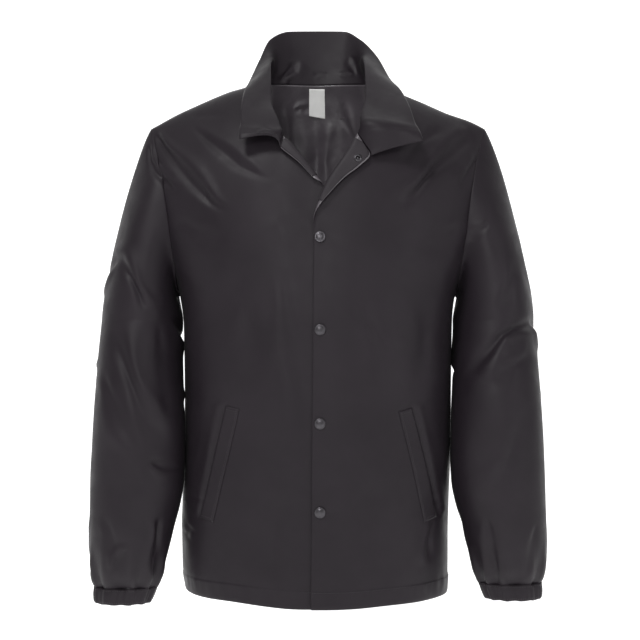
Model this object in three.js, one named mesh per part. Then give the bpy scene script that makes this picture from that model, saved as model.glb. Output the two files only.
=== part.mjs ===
import * as THREE from "three";

// Coach jacket in men's size M, filled out as if worn: open collar, four closed snaps, arms hanging.
// Millimetres, +Z up. The front faces -Y and the wearer's left is +X. z = 0 is the base of the neck.

// Driving sizes
const SHELL_CLOTH = 1.6; // shell cloth with its lining
const COLLAR_CLOTH = 2; // two plies and an interlining
const CUFF_CLOTH = 2.4; // casing with the elastic in it
const STRIP_CLOTH = 0.8; // one ply: facing, lining, welt and label
const SEAM_GAP = 0.3;
const LAYER_GAP = 0.35;
const SLEEVE_INSET = 0.4; // what a piece gives up at its sewn edges
const CUFF_INSET = 0.3;
const COLLAR_INSET = 0.4;
const FACING_INSET = 1.2;
const FACING_COLUMNS = 3;
const LINING_COLUMN = 10; // column of the back where the lining that shows begins
const HEM_RAISE = 0.9; // turned-up casing on the outside of the hem
const LAPPED_COLUMNS = 8; // the right front's casing stays flat under the left front
const HEM_TOP_ROW = 1;
const SHOULDER_LINE_Y = 5;
const SECTION_POWER = 2.4; // roundness of the torso's sections
const ARMPIT_ROW = 11;
const TOP_ROW = 23;
const ROLL_RADIUS = 4; // fold of the turned-out front edges
const ROLL_QUARTER = (Math.PI * ROLL_RADIUS) / 2;
const STRIP_STEP = 2.5; // least spacing of the columns beside a front edge
const STRIP_MARGIN = 8; // flat cloth kept past the fold
const PANEL_COLUMNS = 9;
const NECK_COLUMNS = 10;
const UNDERLAP = 3.3; // how far the right front lies under the left one
const LAP_FADE = { near: 10, far: 48, low: -150, high: -100 }; // x and z over which the underlap ends
const ROLL_OUT = 0.98; // the turned strip stands off this way per mm of lift: outward and upward
const ROLL_UP = 0.2;
const SNAP_RADIUS = 7.5;
const SNAP_HEIGHT = 2.6;
const SOCKET_RADIUS = 5.5;
const SOCKET_BORE = 2.4;
const LABEL = { left: -13.5, right: 10.5, top: 17, bottom: -26, inside: 2.6 };

// Torso half width by height, under the arms and as the hidden line of the chest above them
const TORSO = [
  { z: -720, half: 188 },
  { z: -600, half: 190 },
  { z: -450, half: 190 },
  { z: -340, half: 191.5 },
  { z: -297, half: 196.5 },
  { z: -240, half: 215 },
  { z: -180, half: 232 },
  { z: -115, half: 242 },
  { z: -40, half: 243.5 },
  { z: 60, half: 244 },
];

// Chest and back depth by the drop below the shoulder line
const DEPTH = [
  { drop: 0, front: 0, back: 0 },
  { drop: 3, front: 14, back: 13 },
  { drop: 8, front: 25, back: 24 },
  { drop: 16, front: 38, back: 37 },
  { drop: 28, front: 53, back: 51 },
  { drop: 45, front: 70, back: 66 },
  { drop: 65, front: 86, back: 79 },
  { drop: 90, front: 101, back: 91 },
  { drop: 120, front: 113, back: 102 },
  { drop: 160, front: 124, back: 112 },
  { drop: 210, front: 132, back: 119 },
  { drop: 270, front: 138, back: 124 },
  { drop: 340, front: 143, back: 127 },
  { drop: 460, front: 145, back: 127 },
  { drop: 730, front: 143, back: 127 },
  { drop: 830, front: 143, back: 127 },
];

// Shoulder line by distance from the middle: the front's, the back's, and the back's sewn top edge
const SHOULDER = [
  { x: -33, front: 12, back: 82, top: 21.8 },
  { x: 0, front: 12, back: 93, top: 22 },
  { x: 33, front: 12, back: 82, top: 21.8 },
  { x: 52, front: 11.5, back: 66, top: 20.5 },
  { x: 68, front: 11, back: 46, top: 18 },
  { x: 80, front: 10, back: 20, top: 13.5 },
  { x: 88, front: 9, back: 9, top: 9 },
  { x: 118, front: -2, back: -2, top: -2 },
  { x: 148, front: -14, back: -14, top: -14 },
  { x: 182, front: -29, back: -29, top: -29 },
  { x: 216, front: -43, back: -43, top: -43 },
  { x: 244, front: -57.5, back: -57.5, top: -57.5 },
];

// Armhole edge by height
const ARMHOLE = [
  { z: -297, front: 196.5, back: 196.5 },
  { z: -291, front: 197.6, back: 197.6 },
  { z: -280, front: 199.2, back: 200 },
  { z: -262, front: 201, back: 204 },
  { z: -240, front: 203, back: 210 },
  { z: -215, front: 206, back: 214 },
  { z: -190, front: 209, back: 218 },
  { z: -160, front: 213.5, back: 222.5 },
  { z: -130, front: 219.5, back: 228 },
  { z: -103, front: 225.5, back: 232 },
  { z: -82, front: 231.5, back: 235.5 },
  { z: -68, front: 235.5, back: 237.5 },
  { z: -55.1, front: 239, back: 239 },
];

// Side seam and armhole height of each row, and how far the row has bent to follow the shoulder
const ROWS = [
  { row: 0, z: -720, rise: 0 },
  { row: 1, z: -697, rise: 0 },
  { row: 2, z: -694.5, rise: 0 },
  { row: 3, z: -650, rise: 0 },
  { row: 4, z: -600, rise: 0 },
  { row: 5, z: -550, rise: 0 },
  { row: 6, z: -500, rise: 0 },
  { row: 7, z: -450, rise: 0 },
  { row: 8, z: -400, rise: 0 },
  { row: 9, z: -352, rise: 0 },
  { row: 10, z: -318, rise: 0 },
  { row: 11, z: -297, rise: 0.04 },
  { row: 12, z: -291, rise: 0.1 },
  { row: 13, z: -280, rise: 0.18 },
  { row: 14, z: -262, rise: 0.28 },
  { row: 15, z: -240, rise: 0.4 },
  { row: 16, z: -215, rise: 0.54 },
  { row: 17, z: -190, rise: 0.68 },
  { row: 18, z: -160, rise: 0.82 },
  { row: 19, z: -130, rise: 0.92 },
  { row: 20, z: -103, rise: 1 },
  { row: 21, z: -82, rise: 1 },
  { row: 22, z: -68, rise: 1 },
  { row: 23, z: -55.1, rise: 1 },
];

// Front edges by row: x and z of the outermost line of the fold (x positive to the panel's own side),
// the cloth turned past the fold's crest (negative when turned out), and the slope of the turned strip
const FLAT = ROLL_QUARTER;
const LEFT_EDGE = [
  { row: 0, x: -13, z: -720, start: FLAT, slope: 0 },
  { row: 1, x: -13, z: -697, start: FLAT, slope: 0 },
  { row: 2, x: -13, z: -694.5, start: FLAT, slope: 0 },
  { row: 3, x: -12.5, z: -645, start: FLAT, slope: 0 },
  { row: 4, x: -12, z: -590, start: FLAT, slope: 0 },
  { row: 5, x: -12, z: -535, start: FLAT, slope: 0 },
  { row: 6, x: -11.5, z: -475, start: FLAT, slope: 0 },
  { row: 7, x: -11, z: -415, start: FLAT, slope: 0 },
  { row: 8, x: -10.5, z: -355, start: FLAT, slope: 0 },
  { row: 9, x: -10, z: -295, start: FLAT, slope: 0 },
  { row: 10, x: -9.5, z: -240, start: FLAT, slope: 4 },
  { row: 11, x: -8.5, z: -214, start: 5, slope: 12 },
  { row: 12, x: -5, z: -193, start: 0, slope: 22 },
  { row: 13, x: 1.5, z: -172, start: -6.5, slope: 30 },
  { row: 14, x: 9.4, z: -153, start: -12.8, slope: 32 },
  { row: 15, x: 22, z: -131, start: -19, slope: 32 },
  { row: 16, x: 35, z: -112, start: -26.5, slope: 32 },
  { row: 17, x: 46.2, z: -94.4, start: -31.3, slope: 32 },
  { row: 18, x: 51, z: -84, start: -15, slope: 32 },
  { row: 19, x: 55, z: -76, start: 0, slope: 31 },
  { row: 20, x: 60, z: -67, start: FLAT, slope: 28 },
  { row: 21, x: 74, z: -40, start: FLAT, slope: 24 },
  { row: 22, x: 82, z: -14, start: FLAT, slope: 21 },
  { row: 23, x: 84, z: 10.5, start: FLAT, slope: 20 },
];
const RIGHT_EDGE = [
  { row: 0, x: -24, z: -720, start: FLAT, slope: 0 },
  { row: 1, x: -24, z: -697, start: FLAT, slope: 0 },
  { row: 2, x: -24, z: -694.5, start: FLAT, slope: 0 },
  { row: 3, x: -24, z: -645, start: FLAT, slope: 0 },
  { row: 4, x: -24, z: -590, start: FLAT, slope: 0 },
  { row: 5, x: -24, z: -535, start: FLAT, slope: 0 },
  { row: 6, x: -24, z: -475, start: FLAT, slope: 0 },
  { row: 7, x: -24, z: -415, start: FLAT, slope: 0 },
  { row: 8, x: -24, z: -355, start: FLAT, slope: 0 },
  { row: 9, x: -24, z: -295, start: FLAT, slope: 0 },
  { row: 10, x: -24, z: -240, start: FLAT, slope: 4 },
  { row: 11, x: -24, z: -210, start: FLAT, slope: 14 },
  { row: 12, x: -23, z: -188, start: FLAT, slope: 26 },
  { row: 13, x: -18, z: -168, start: FLAT, slope: 36 },
  { row: 14, x: -10, z: -152, start: 3, slope: 41 },
  { row: 15, x: 2, z: -137, start: -7.3, slope: 41 },
  { row: 16, x: 19, z: -114, start: -10.5, slope: 41 },
  { row: 17, x: 39, z: -90, start: -16.3, slope: 41 },
  { row: 18, x: 44, z: -84.5, start: -9, slope: 40 },
  { row: 19, x: 48, z: -80, start: 0, slope: 38 },
  { row: 20, x: 54, z: -73, start: FLAT, slope: 34 },
  { row: 21, x: 70, z: -46, start: FLAT, slope: 26 },
  { row: 22, x: 80.5, z: -18, start: FLAT, slope: 22 },
  { row: 23, x: 84, z: 10.5, start: FLAT, slope: 20 },
];

// Collar by the share of the neckline from the middle of the back to the front end:
// the line it rolls over and its outer edge
const LEFT_COLLAR = [
  { share: -0.12, rollX: -32, rollY: 93, rollZ: 66, tipX: -38, tipY: 98, tipZ: 104.5 },
  { share: 0, rollX: 0, rollY: 97, rollZ: 66, tipX: 0, tipY: 101, tipZ: 105.5 },
  { share: 0.12, rollX: 32, rollY: 93, rollZ: 66, tipX: 38, tipY: 98, tipZ: 104.5 },
  { share: 0.25, rollX: 60, rollY: 74, rollZ: 64, tipX: 64.5, tipY: 80, tipZ: 88 },
  { share: 0.36, rollX: 68, rollY: 42, rollZ: 56, tipX: 88, tipY: 48, tipZ: 56 },
  { share: 0.48, rollX: 68, rollY: 2, rollZ: 38, tipX: 105, tipY: 6, tipZ: 16 },
  { share: 0.58, rollX: 68, rollY: -28, rollZ: 13, tipX: 117, tipY: -32, tipZ: -5 },
  { share: 0.7, rollX: 67, rollY: -60, rollZ: -22, tipX: 128, tipY: -68, tipZ: -36 },
  { share: 0.81, rollX: 60, rollY: -92, rollZ: -59, tipX: 134, tipY: -92, tipZ: -62 },
  { share: 0.86, rollX: 58, rollY: -104, rollZ: -70, tipX: 137, tipY: -99, tipZ: -69 },
  { share: 0.92, rollX: 67, rollY: -112, rollZ: -82, tipX: 140, tipY: -106, tipZ: -77 },
  { share: 1, rollX: 82, rollY: -114, rollZ: -104, tipX: 143, tipY: -112, tipZ: -88 },
];
const RIGHT_COLLAR = [
  { share: -0.12, rollX: -32, rollY: 93, rollZ: 66, tipX: -38, tipY: 98, tipZ: 104.5 },
  { share: 0, rollX: 0, rollY: 97, rollZ: 66, tipX: 0, tipY: 101, tipZ: 105.5 },
  { share: 0.12, rollX: 34, rollY: 93, rollZ: 66, tipX: 42, tipY: 98, tipZ: 104.5 },
  { share: 0.25, rollX: 63, rollY: 74, rollZ: 64, tipX: 71.5, tipY: 80, tipZ: 89 },
  { share: 0.37, rollX: 70, rollY: 42, rollZ: 54, tipX: 86, tipY: 46, tipZ: 52 },
  { share: 0.5, rollX: 69, rollY: 2, rollZ: 36, tipX: 99, tipY: 2, tipZ: 12 },
  { share: 0.62, rollX: 67.5, rollY: -27, rollZ: 13, tipX: 104, tipY: -42, tipZ: -9 },
  { share: 0.76, rollX: 66, rollY: -60, rollZ: -24, tipX: 106, tipY: -79, tipZ: -40 },
  { share: 0.84, rollX: 54, rollY: -97, rollZ: -64, tipX: 106, tipY: -95, tipZ: -62 },
  { share: 0.9, rollX: 49, rollY: -107, rollZ: -76, tipX: 107, tipY: -104, tipZ: -71 },
  { share: 0.95, rollX: 50, rollY: -112, rollZ: -82, tipX: 107, tipY: -110, tipZ: -79 },
  { share: 1, rollX: 53, rollY: -116, rollZ: -89, tipX: 106, tipY: -114, tipZ: -86.5 },
];
const COLLAR_ROWS = [0, 0.12, 0.25, 0.37, 0.48, 0.58, 0.68, 0.79, 0.9, 1];

// Sleeve sections below the armpit: inner and outer x, depth's middle and half
const SLEEVE = [
  { z: -331, inner: 195, outer: 309, middle: 0, half: 76 },
  { z: -375, inner: 193.5, outer: 311, middle: -17, half: 71 },
  { z: -420, inner: 191, outer: 312.5, middle: -33, half: 66 },
  { z: -465, inner: 188.2, outer: 314.5, middle: -43, half: 62 },
  { z: -510, inner: 187.2, outer: 316.5, middle: -47, half: 58 },
  { z: -555, inner: 189, outer: 318, middle: -48, half: 55.5 },
  { z: -590, inner: 195, outer: 319, middle: -48, half: 54 },
  { z: -620, inner: 203, outer: 319.8, middle: -48, half: 52 },
  { z: -645, inner: 208.5, outer: 320, middle: -47, half: 49 },
  { z: -662, inner: 212.5, outer: 319.2, middle: -46, half: 46 },
  { z: -678, inner: 216.5, outer: 318, middle: -45, half: 42 },
  { z: -690, inner: 220, outer: 316.6, middle: -44, half: 37 },
  { z: -699, inner: 224, outer: 314.5, middle: -43, half: 31 },
  { z: -705, inner: 226.5, outer: 312.5, middle: -42, half: 27 },
  { z: -708, inner: 228, outer: 313, middle: -42, half: 27 },
  { z: -718, inner: 232, outer: 313.5, middle: -42, half: 27 },
  { z: -728, inner: 236, outer: 313.5, middle: -42, half: 26.5 },
];
const SLEEVE_CAP_STEPS = [0.06, 0.16, 0.3, 0.46, 0.63, 0.82, 1];
const SLEEVE_ROWS = [-375, -420, -465, -510, -555, -590, -620, -645];
const GATHER_ROWS = [-662, -678, -690, -699, -705];
const CUFF_ROWS = [-705, -708, -718, -728];
const GATHERS = 11;
const GATHER_DEPTH = 2.6;

// How unevenly it hangs: the body swings to the wearer's right towards the hem, the hem rises at the
// sides, the right shoulder sits higher beside the collar, and the left arm hangs shorter
const HANG = {
  swing: { by: -4.5, from: 480, to: 640 },
  hem: { right: 8, left: 4.5, from: 600, to: 720, near: 10, far: 130 },
  tuck: { by: 4, from: 685, to: 722, near: 110, far: 190 },
  shoulder: { right: 3.6, left: -2.8, from: -200, to: -60, near: 92, top: 132, fall: 180, far: 232 },
  arm: { left: 6, from: 560, to: 700 },
};

// Largest folds, seen from the front (-1) or the back (1): troughs are negative. x is the viewer's, in mm
const FOLDS = [
  { face: -1, x1: -238, z1: -62, x2: -142, z2: -180, width: 11, depth: -4.5 },
  { face: -1, x1: -182, z1: -55, x2: -75, z2: -135, width: 10, depth: -3.5 },
  { face: -1, x1: 222, z1: -70, x2: 118, z2: -172, width: 11, depth: -4 },
  { face: -1, x1: -290, z1: -245, x2: -246, z2: -320, width: 9, depth: -4 },
  { face: -1, x1: -286, z1: -345, x2: -205, z2: -520, width: 12, depth: -4 },
  { face: -1, x1: 300, z1: -338, x2: 198, z2: -412, width: 12, depth: -5 },
  { face: -1, x1: -285, z1: -640, x2: -262, z2: -668, width: 10, depth: 3 },
  { face: -1, x1: 60, z1: -330, x2: 128, z2: -440, width: 14, depth: -2.5 },
  { face: -1, x1: -40, z1: -290, x2: -48, z2: -430, width: 13, depth: -2 },
  { face: 1, x1: -230, z1: -80, x2: -120, z2: -190, width: 13, depth: -4 },
  { face: 1, x1: 232, z1: -76, x2: 112, z2: -205, width: 13, depth: -4 },
  { face: 1, x1: -290, z1: -360, x2: -206, z2: -430, width: 12, depth: -4.5 },
  { face: 1, x1: 292, z1: -350, x2: 204, z2: -415, width: 12, depth: -4 },
  { face: 1, x1: -70, z1: -560, x2: 30, z2: -520, width: 16, depth: -2.5 },
];

// Slanted pocket mouths: x and z of the free edge's ends, on each side's own x
const POCKETS = [
  { name: "pocket_welt_left", side: 1, topX: 127, topZ: -450, bottomX: 166, bottomZ: -603 },
  { name: "pocket_welt_right", side: -1, topX: 124, topZ: -447, bottomX: 159, bottomZ: -603 },
];
const WELT_WIDTH = 19;
const SNAP_HEIGHTS = [-219, -344, -470, -589];
const SNAP_X = 3;

const mix = THREE.MathUtils.lerp;

// Smooth, never overshooting value of a table's column where its key column reaches a place
function read(table, key, place, column) {
  const last = table.length - 1;
  let i = 1;
  while (i < last && place > table[i][key]) {
    i += 1;
  }
  const secant = (k) => (table[k][column] - table[k - 1][column]) / (table[k][key] - table[k - 1][key]);
  const slope = (k) => {
    if (k === 0 || k === last) {
      return secant(Math.max(k, 1));
    }
    const before = secant(k);
    const after = secant(k + 1);
    return before * after <= 0 ? 0 : (2 * before * after) / (before + after);
  };
  const span = table[i][key] - table[i - 1][key];
  const t = THREE.MathUtils.clamp((place - table[i - 1][key]) / span, 0, 1);
  const rise = t * t * (3 - 2 * t);
  const leave = t * (1 - t) * (1 - t) * span * slope(i - 1);
  const arrive = t * t * (t - 1) * span * slope(i);
  return mix(table[i - 1][column], table[i][column], rise) + leave + arrive;
}

const halfWidth = (z) => read(TORSO, "z", z, "half");
const shoulderZ = (x, line) => read(SHOULDER, "x", Math.abs(x), line);

// Share of the depth that a section keeps at a share of its half width
function sectionDepth(share) {
  const inside = 1 - Math.min(1, Math.abs(share)) ** SECTION_POWER;
  return inside ** (1 / SECTION_POWER);
}

// Share of the half width at an angle round a section, 0 at the side and 90 degrees in the middle
function sectionWidth(angle) {
  const c = Math.abs(Math.cos(angle)) ** SECTION_POWER;
  const s = Math.abs(Math.sin(angle)) ** SECTION_POWER;
  return Math.cos(angle) / (c + s) ** (1 / SECTION_POWER);
}

// Angle round a section whose width share is the given one
function sectionAngle(share) {
  return Math.atan2(sectionDepth(share), share);
}

// Point of the torso's surface at x and z, on the front or the back
function onTorso(x, z, line) {
  const drop = Math.max(0, shoulderZ(x, line) - z);
  const depth = read(DEPTH, "drop", drop, line) * sectionDepth(x / halfWidth(z));
  const toward = line === "front" ? -1 : 1;
  return new THREE.Vector3(x, SHOULDER_LINE_Y + toward * depth, z);
}

const ramp = THREE.MathUtils.smoothstep;

// Moves a point of the body by how unevenly the jacket hangs
function hung(p) {
  const { swing, hem, tuck, shoulder } = HANG;
  const side = p.x < 0 ? "right" : "left";
  const out = Math.abs(p.x);
  const hump = ramp(out, shoulder.near, shoulder.top) * (1 - ramp(out, shoulder.fall, shoulder.far));
  const raised = shoulder[side] * hump * ramp(p.z, shoulder.from, shoulder.to);
  const lifted = hem[side] * ramp(out, hem.near, hem.far) * ramp(-p.z, hem.from, hem.to);
  const swung = swing.by * ramp(-p.z, swing.from, swing.to) * (p.x / 190) ** 2;
  const tucked = tuck.by * ramp(-p.z, tuck.from, tuck.to) * ramp(-p.x, tuck.near, tuck.far);
  p.x += swung + tucked;
  p.z += raised + lifted;
  return p;
}

const armholeX = (z, line) => (z > ARMHOLE[0].z ? read(ARMHOLE, "z", z, line) : halfWidth(z));

// Where the columns beside a front edge lie, as cloth measured from the fold's crest
function stripPlaces(start) {
  const places = [start];
  const wanted = [-1, -1 / 3, 1 / 3, 1].map((share) => share * ROLL_QUARTER);
  wanted.push(ROLL_QUARTER + STRIP_MARGIN);
  wanted.forEach((place) => places.push(Math.max(place, places.at(-1) + STRIP_STEP)));
  return places;
}

// Reach from the fold's outermost line and lift off the panel, of cloth at a place about the crest
function rolled(place) {
  if (place >= ROLL_QUARTER) {
    return { reach: ROLL_RADIUS + place - ROLL_QUARTER, lift: 0 };
  }
  if (place <= -ROLL_QUARTER) {
    return { reach: ROLL_RADIUS - place - ROLL_QUARTER, lift: 2 * ROLL_RADIUS };
  }
  const angle = Math.PI / 2 - place / ROLL_RADIUS;
  return { reach: ROLL_RADIUS * (1 - Math.sin(angle)), lift: ROLL_RADIUS * (1 - Math.cos(angle)) };
}

// One row of a front, from its front edge or the neckline to the side seam or the armhole
function frontRow(edges, side, row) {
  const value = (column) => read(edges, "row", row, column);
  const outerZ = read(ROWS, "row", row, "z");
  const rise = read(ROWS, "row", row, "rise");
  const outerX = armholeX(outerZ, "front");
  const outerDrop = shoulderZ(outerX, "front") - outerZ;
  const slope = THREE.MathUtils.degToRad(value("slope"));
  const neck = ramp(row, 20, 22.5);
  const edgeX = value("x") + ROLL_RADIUS * Math.cos(slope);
  const edgeDrop = shoulderZ(edgeX, "front") - (value("z") - ROLL_RADIUS * Math.sin(slope));
  const places = stripPlaces(value("start")).map((place) => {
    const { reach, lift } = rolled(place);
    const x = value("x") + reach * Math.cos(slope);
    const level = value("z") - reach * Math.sin(slope);
    const share = (x - edgeX) / (outerX - edgeX);
    const bent = shoulderZ(x, "front") - mix(edgeDrop, outerDrop, share);
    return { x, z: mix(level, bent, neck), lift };
  });
  if (row === TOP_ROW) {
    places.forEach((p) => {
      p.z = shoulderZ(p.x, "front");
    });
  }
  const from = places.at(-1);
  const fromAngle = sectionAngle(from.x / halfWidth(from.z));
  const toAngle = sectionAngle(outerX / halfWidth(outerZ));
  const fromDrop = shoulderZ(from.x, "front") - from.z;
  for (let k = 1; k <= PANEL_COLUMNS; k += 1) {
    const share = k / PANEL_COLUMNS;
    const level = mix(from.z, outerZ, share);
    const x = halfWidth(level) * sectionWidth(mix(fromAngle, toAngle, share));
    const bent = shoulderZ(x, "front") - mix(fromDrop, outerDrop, share);
    places.push({ x, z: mix(level, bent, rise), lift: 0 });
  }
  return places.map(({ x, z, lift }) => {
    const p = onTorso(x, z, "front");
    const across = 1 - ramp(x, LAP_FADE.near, LAP_FADE.far);
    const low = 1 - ramp(z, LAP_FADE.low, LAP_FADE.high);
    p.y += (side < 0 ? UNDERLAP * across * low : 0) - lift * ROLL_OUT;
    p.z += lift * ROLL_UP;
    p.x *= side;
    return hung(p);
  });
}

// One row of the back, from the wearer's right to the left
function backRow(row, topShares) {
  const outerZ = read(ROWS, "row", row, "z");
  const rise = read(ROWS, "row", row, "rise");
  const outerX = armholeX(outerZ, "back");
  const outerDrop = shoulderZ(outerX, "back") - outerZ;
  const edgeAngle = sectionAngle(outerX / halfWidth(outerZ));
  const last = topShares.length - 1;
  return topShares.map((topShare, k) => {
    const share = mix(k / last, topShare, row / TOP_ROW);
    const angle = mix(Math.PI - edgeAngle, edgeAngle, share);
    const x = halfWidth(outerZ) * sectionWidth(angle);
    const bent = shoulderZ(x, "top") - outerDrop;
    return hung(onTorso(x, mix(outerZ, bent, rise), "back"));
  });
}

// Sheets are open surfaces: points and triangles, rows of equal or doubled count
function sheetOf(rows, closed) {
  const points = rows.flat();
  const triangles = [];
  let base = 0;
  rows.slice(1).forEach((next, i) => {
    const count = rows[i].length;
    const doubled = next.length === 2 * count ? 2 : 1;
    const a = (k) => base + (k % count);
    const b = (k) => base + count + (k % next.length);
    for (let k = 0; k < (closed ? count : count - 1); k += 1) {
      if (doubled === 2) {
        triangles.push([a(k), b(2 * k), b(2 * k + 1)]);
        triangles.push([a(k), b(2 * k + 1), a(k + 1)]);
        triangles.push([a(k + 1), b(2 * k + 1), b(2 * k + 2)]);
      } else {
        triangles.push([a(k), b(k), b(k + 1)]);
        triangles.push([a(k), b(k + 1), a(k + 1)]);
      }
    }
    base += count;
  });
  return { points, triangles, normals: vertexNormals(points, triangles) };
}

function vertexNormals(points, triangles) {
  const normals = points.map(() => new THREE.Vector3());
  triangles.forEach(([a, b, c]) => {
    const face = new THREE.Vector3().subVectors(points[b], points[a]);
    face.cross(new THREE.Vector3().subVectors(points[c], points[a]));
    [a, b, c].forEach((v) => normals[v].add(face));
  });
  return normals.map((n) => n.normalize());
}

// Turns a sheet so that its normals point away from the axis it wraps
function faceOut(sheet, axisAt) {
  const away = sheet.points.reduce(
    (sum, p, i) => sum + sheet.normals[i].dot(p.clone().sub(axisAt(p))),
    0,
  );
  if (away < 0) {
    sheet.triangles = sheet.triangles.map(([a, b, c]) => [a, c, b]);
    sheet.normals.forEach((n) => n.negate());
  }
  return sheet;
}

const placeKey = (p) => [p.x, p.y, p.z].map((v) => v.toFixed(2)).join();

// Gives points that two sewn sheets share the mean of their normals, so that their ends stay parallel
function joinNormals(sheets) {
  const shared = new Map();
  sheets.forEach((sheet) => {
    sheet.points.forEach((p, i) => {
      const key = placeKey(p);
      const entry = shared.get(key) ?? { sum: new THREE.Vector3(), count: 0 };
      entry.sum.add(sheet.normals[i]);
      entry.count += 1;
      shared.set(key, entry);
    });
  });
  sheets.forEach((sheet) => {
    const entries = sheet.points.map((p) => shared.get(placeKey(p)));
    sheet.normals = entries.map((e) => e.sum.clone().normalize());
    sheet.stretch = entries.map((e) => 1 / Math.max(e.sum.length() / e.count, 0.65));
  });
}

// Height of the folds at a point whose normal is known
function foldHeight(p, normal) {
  return FOLDS.reduce((sum, fold) => {
    const facing = Math.max(0, normal.y * fold.face);
    const dx = fold.x2 - fold.x1;
    const dz = fold.z2 - fold.z1;
    const along = ((p.x - fold.x1) * dx + (p.z - fold.z1) * dz) / (dx * dx + dz * dz);
    const across = ((p.x - fold.x1) * dz - (p.z - fold.z1) * dx) / Math.hypot(dx, dz);
    const taper = Math.exp(-(((along - 0.5) / 0.5) ** 4));
    return sum + fold.depth * facing * taper * Math.exp(-((across / fold.width) ** 2));
  }, 0);
}

function foldSheets(sheets) {
  sheets.forEach((sheet) => {
    sheet.points = sheet.points.map((p, i) => {
      const height = foldHeight(p, sheet.normals[i]);
      return p.clone().addScaledVector(sheet.normals[i], height);
    });
    sheet.normals = vertexNormals(sheet.points, sheet.triangles);
    sheet.ownNormals = sheet.normals;
  });
}

// Edges that only one triangle uses, each with the third point of that triangle
function openEdges(triangles) {
  const edges = new Map();
  triangles.forEach(([a, b, c]) => {
    [[a, b, c], [b, c, a], [c, a, b]].forEach(([from, to, other]) => {
      edges.set(from + "-" + to, { from, to, other });
    });
  });
  return [...edges.values()].filter(({ from, to }) => !edges.has(to + "-" + from));
}

// Points with the open edges drawn in by a distance, square to each edge
function drawnIn(points, normals, edges, distance) {
  const inward = new Map();
  edges.forEach(({ from, to, other }) => {
    const along = new THREE.Vector3().subVectors(points[to], points[from]);
    const toOther = new THREE.Vector3().subVectors(points[other], points[from]);
    [from, to].forEach((v) => {
      const square = new THREE.Vector3().crossVectors(normals[v], along).normalize();
      square.multiplyScalar(Math.sign(square.dot(toOther)) || 1);
      inward.set(v, [...(inward.get(v) ?? []), square]);
    });
  });
  return points.map((p, i) => {
    const sides = inward.get(i);
    if (!sides) {
      return p.clone();
    }
    const [one, two] = [sides[0], sides.at(-1)];
    const share = distance / Math.max(1 + one.dot(two), 0.4);
    return p.clone().addScaledVector(one, share).addScaledVector(two, share);
  });
}

// Closed wall between two offsets from a sheet, positive on its outer side
function wall(sheet, outer, inner, inset = SEAM_GAP / 2, raise = () => 0) {
  const { normals, triangles } = sheet;
  const edges = openEdges(triangles);
  const points = drawnIn(sheet.points, normals, edges, inset);
  const stretch = (i) => sheet.stretch?.[i] ?? 1;
  const offset = (distance, extra) =>
    points.map((p, i) => p.clone().addScaledVector(normals[i], (distance + extra(i)) * stretch(i)));
  const vertices = [...offset(outer, raise), ...offset(inner, () => 0)];
  const count = points.length;
  const faces = [];
  triangles.forEach(([a, b, c]) => {
    faces.push(a, b, c);
    faces.push(a + count, c + count, b + count);
  });
  edges.forEach(({ from, to }) => {
    faces.push(to, from, from + count);
    faces.push(to, from + count, to + count);
  });
  const geometry = new THREE.BufferGeometry();
  const places = vertices.flatMap((v) => v.toArray());
  geometry.setAttribute("position", new THREE.Float32BufferAttribute(places, 3));
  geometry.setIndex(faces);
  geometry.computeVertexNormals();
  return geometry;
}

// Part of a sheet: the rows and columns of a grid from one to another
function partOf(sheet, columns, rowFrom, rowTo, columnFrom, columnTo) {
  const points = [];
  const normals = [];
  const rows = [];
  for (let r = rowFrom; r <= rowTo; r += 1) {
    const row = [];
    for (let c = columnFrom; c <= columnTo; c += 1) {
      row.push(sheet.points[r * columns + c]);
      normals.push(sheet.ownNormals[r * columns + c]);
    }
    rows.push(row);
    points.push(...row);
  }
  const made = sheetOf(rows, false);
  const same = made.normals.reduce((sum, n, i) => sum + n.dot(normals[i]), 0);
  if (same < 0) {
    made.triangles = made.triangles.map(([a, b, c]) => [a, c, b]);
  }
  return { points, normals, triangles: made.triangles };
}

const count = (from, to) => Array.from({ length: to - from + 1 }, (_, k) => from + k);

// Panels of the body
const bodyAxis = (p) => new THREE.Vector3(0, 0, p.z);
const rowNumbers = count(0, TOP_ROW);
const leftRows = rowNumbers.map((row) => frontRow(LEFT_EDGE, 1, row));
const rightRows = rowNumbers.map((row) => frontRow(RIGHT_EDGE, -1, row));
const shoulderPoints = leftRows[TOP_ROW];
const tipAngle = sectionAngle(shoulderPoints.at(-1).x / halfWidth(ROWS[TOP_ROW].z));
const topAngles = shoulderPoints.map((p) => sectionAngle(p.x / halfWidth(ROWS[TOP_ROW].z))).reverse();
const neckAngle = topAngles.at(-1);
const neckAngles = count(1, NECK_COLUMNS - 1).map((k) =>
  mix(neckAngle, Math.PI - neckAngle, k / NECK_COLUMNS),
);
const backAngles = [...topAngles, ...neckAngles, ...topAngles.map((angle) => Math.PI - angle).reverse()];
const topShares = backAngles.map((angle) => (angle - tipAngle) / (Math.PI - 2 * tipAngle));
const backRows = rowNumbers.map((row) => backRow(row, topShares));
const shoulderColumns = shoulderPoints.length;

// The shoulder points of the back are the fronts' own
shoulderPoints.forEach((p, k) => {
  backRows[TOP_ROW][backAngles.length - shoulderColumns + k] = p.clone();
  backRows[TOP_ROW][shoulderColumns - 1 - k] = rightRows[TOP_ROW][k].clone();
});

const frontLeft = faceOut(sheetOf(leftRows, false), bodyAxis);
const frontRight = faceOut(sheetOf(rightRows, false), bodyAxis);
const back = faceOut(sheetOf(backRows, false), bodyAxis);

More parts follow.
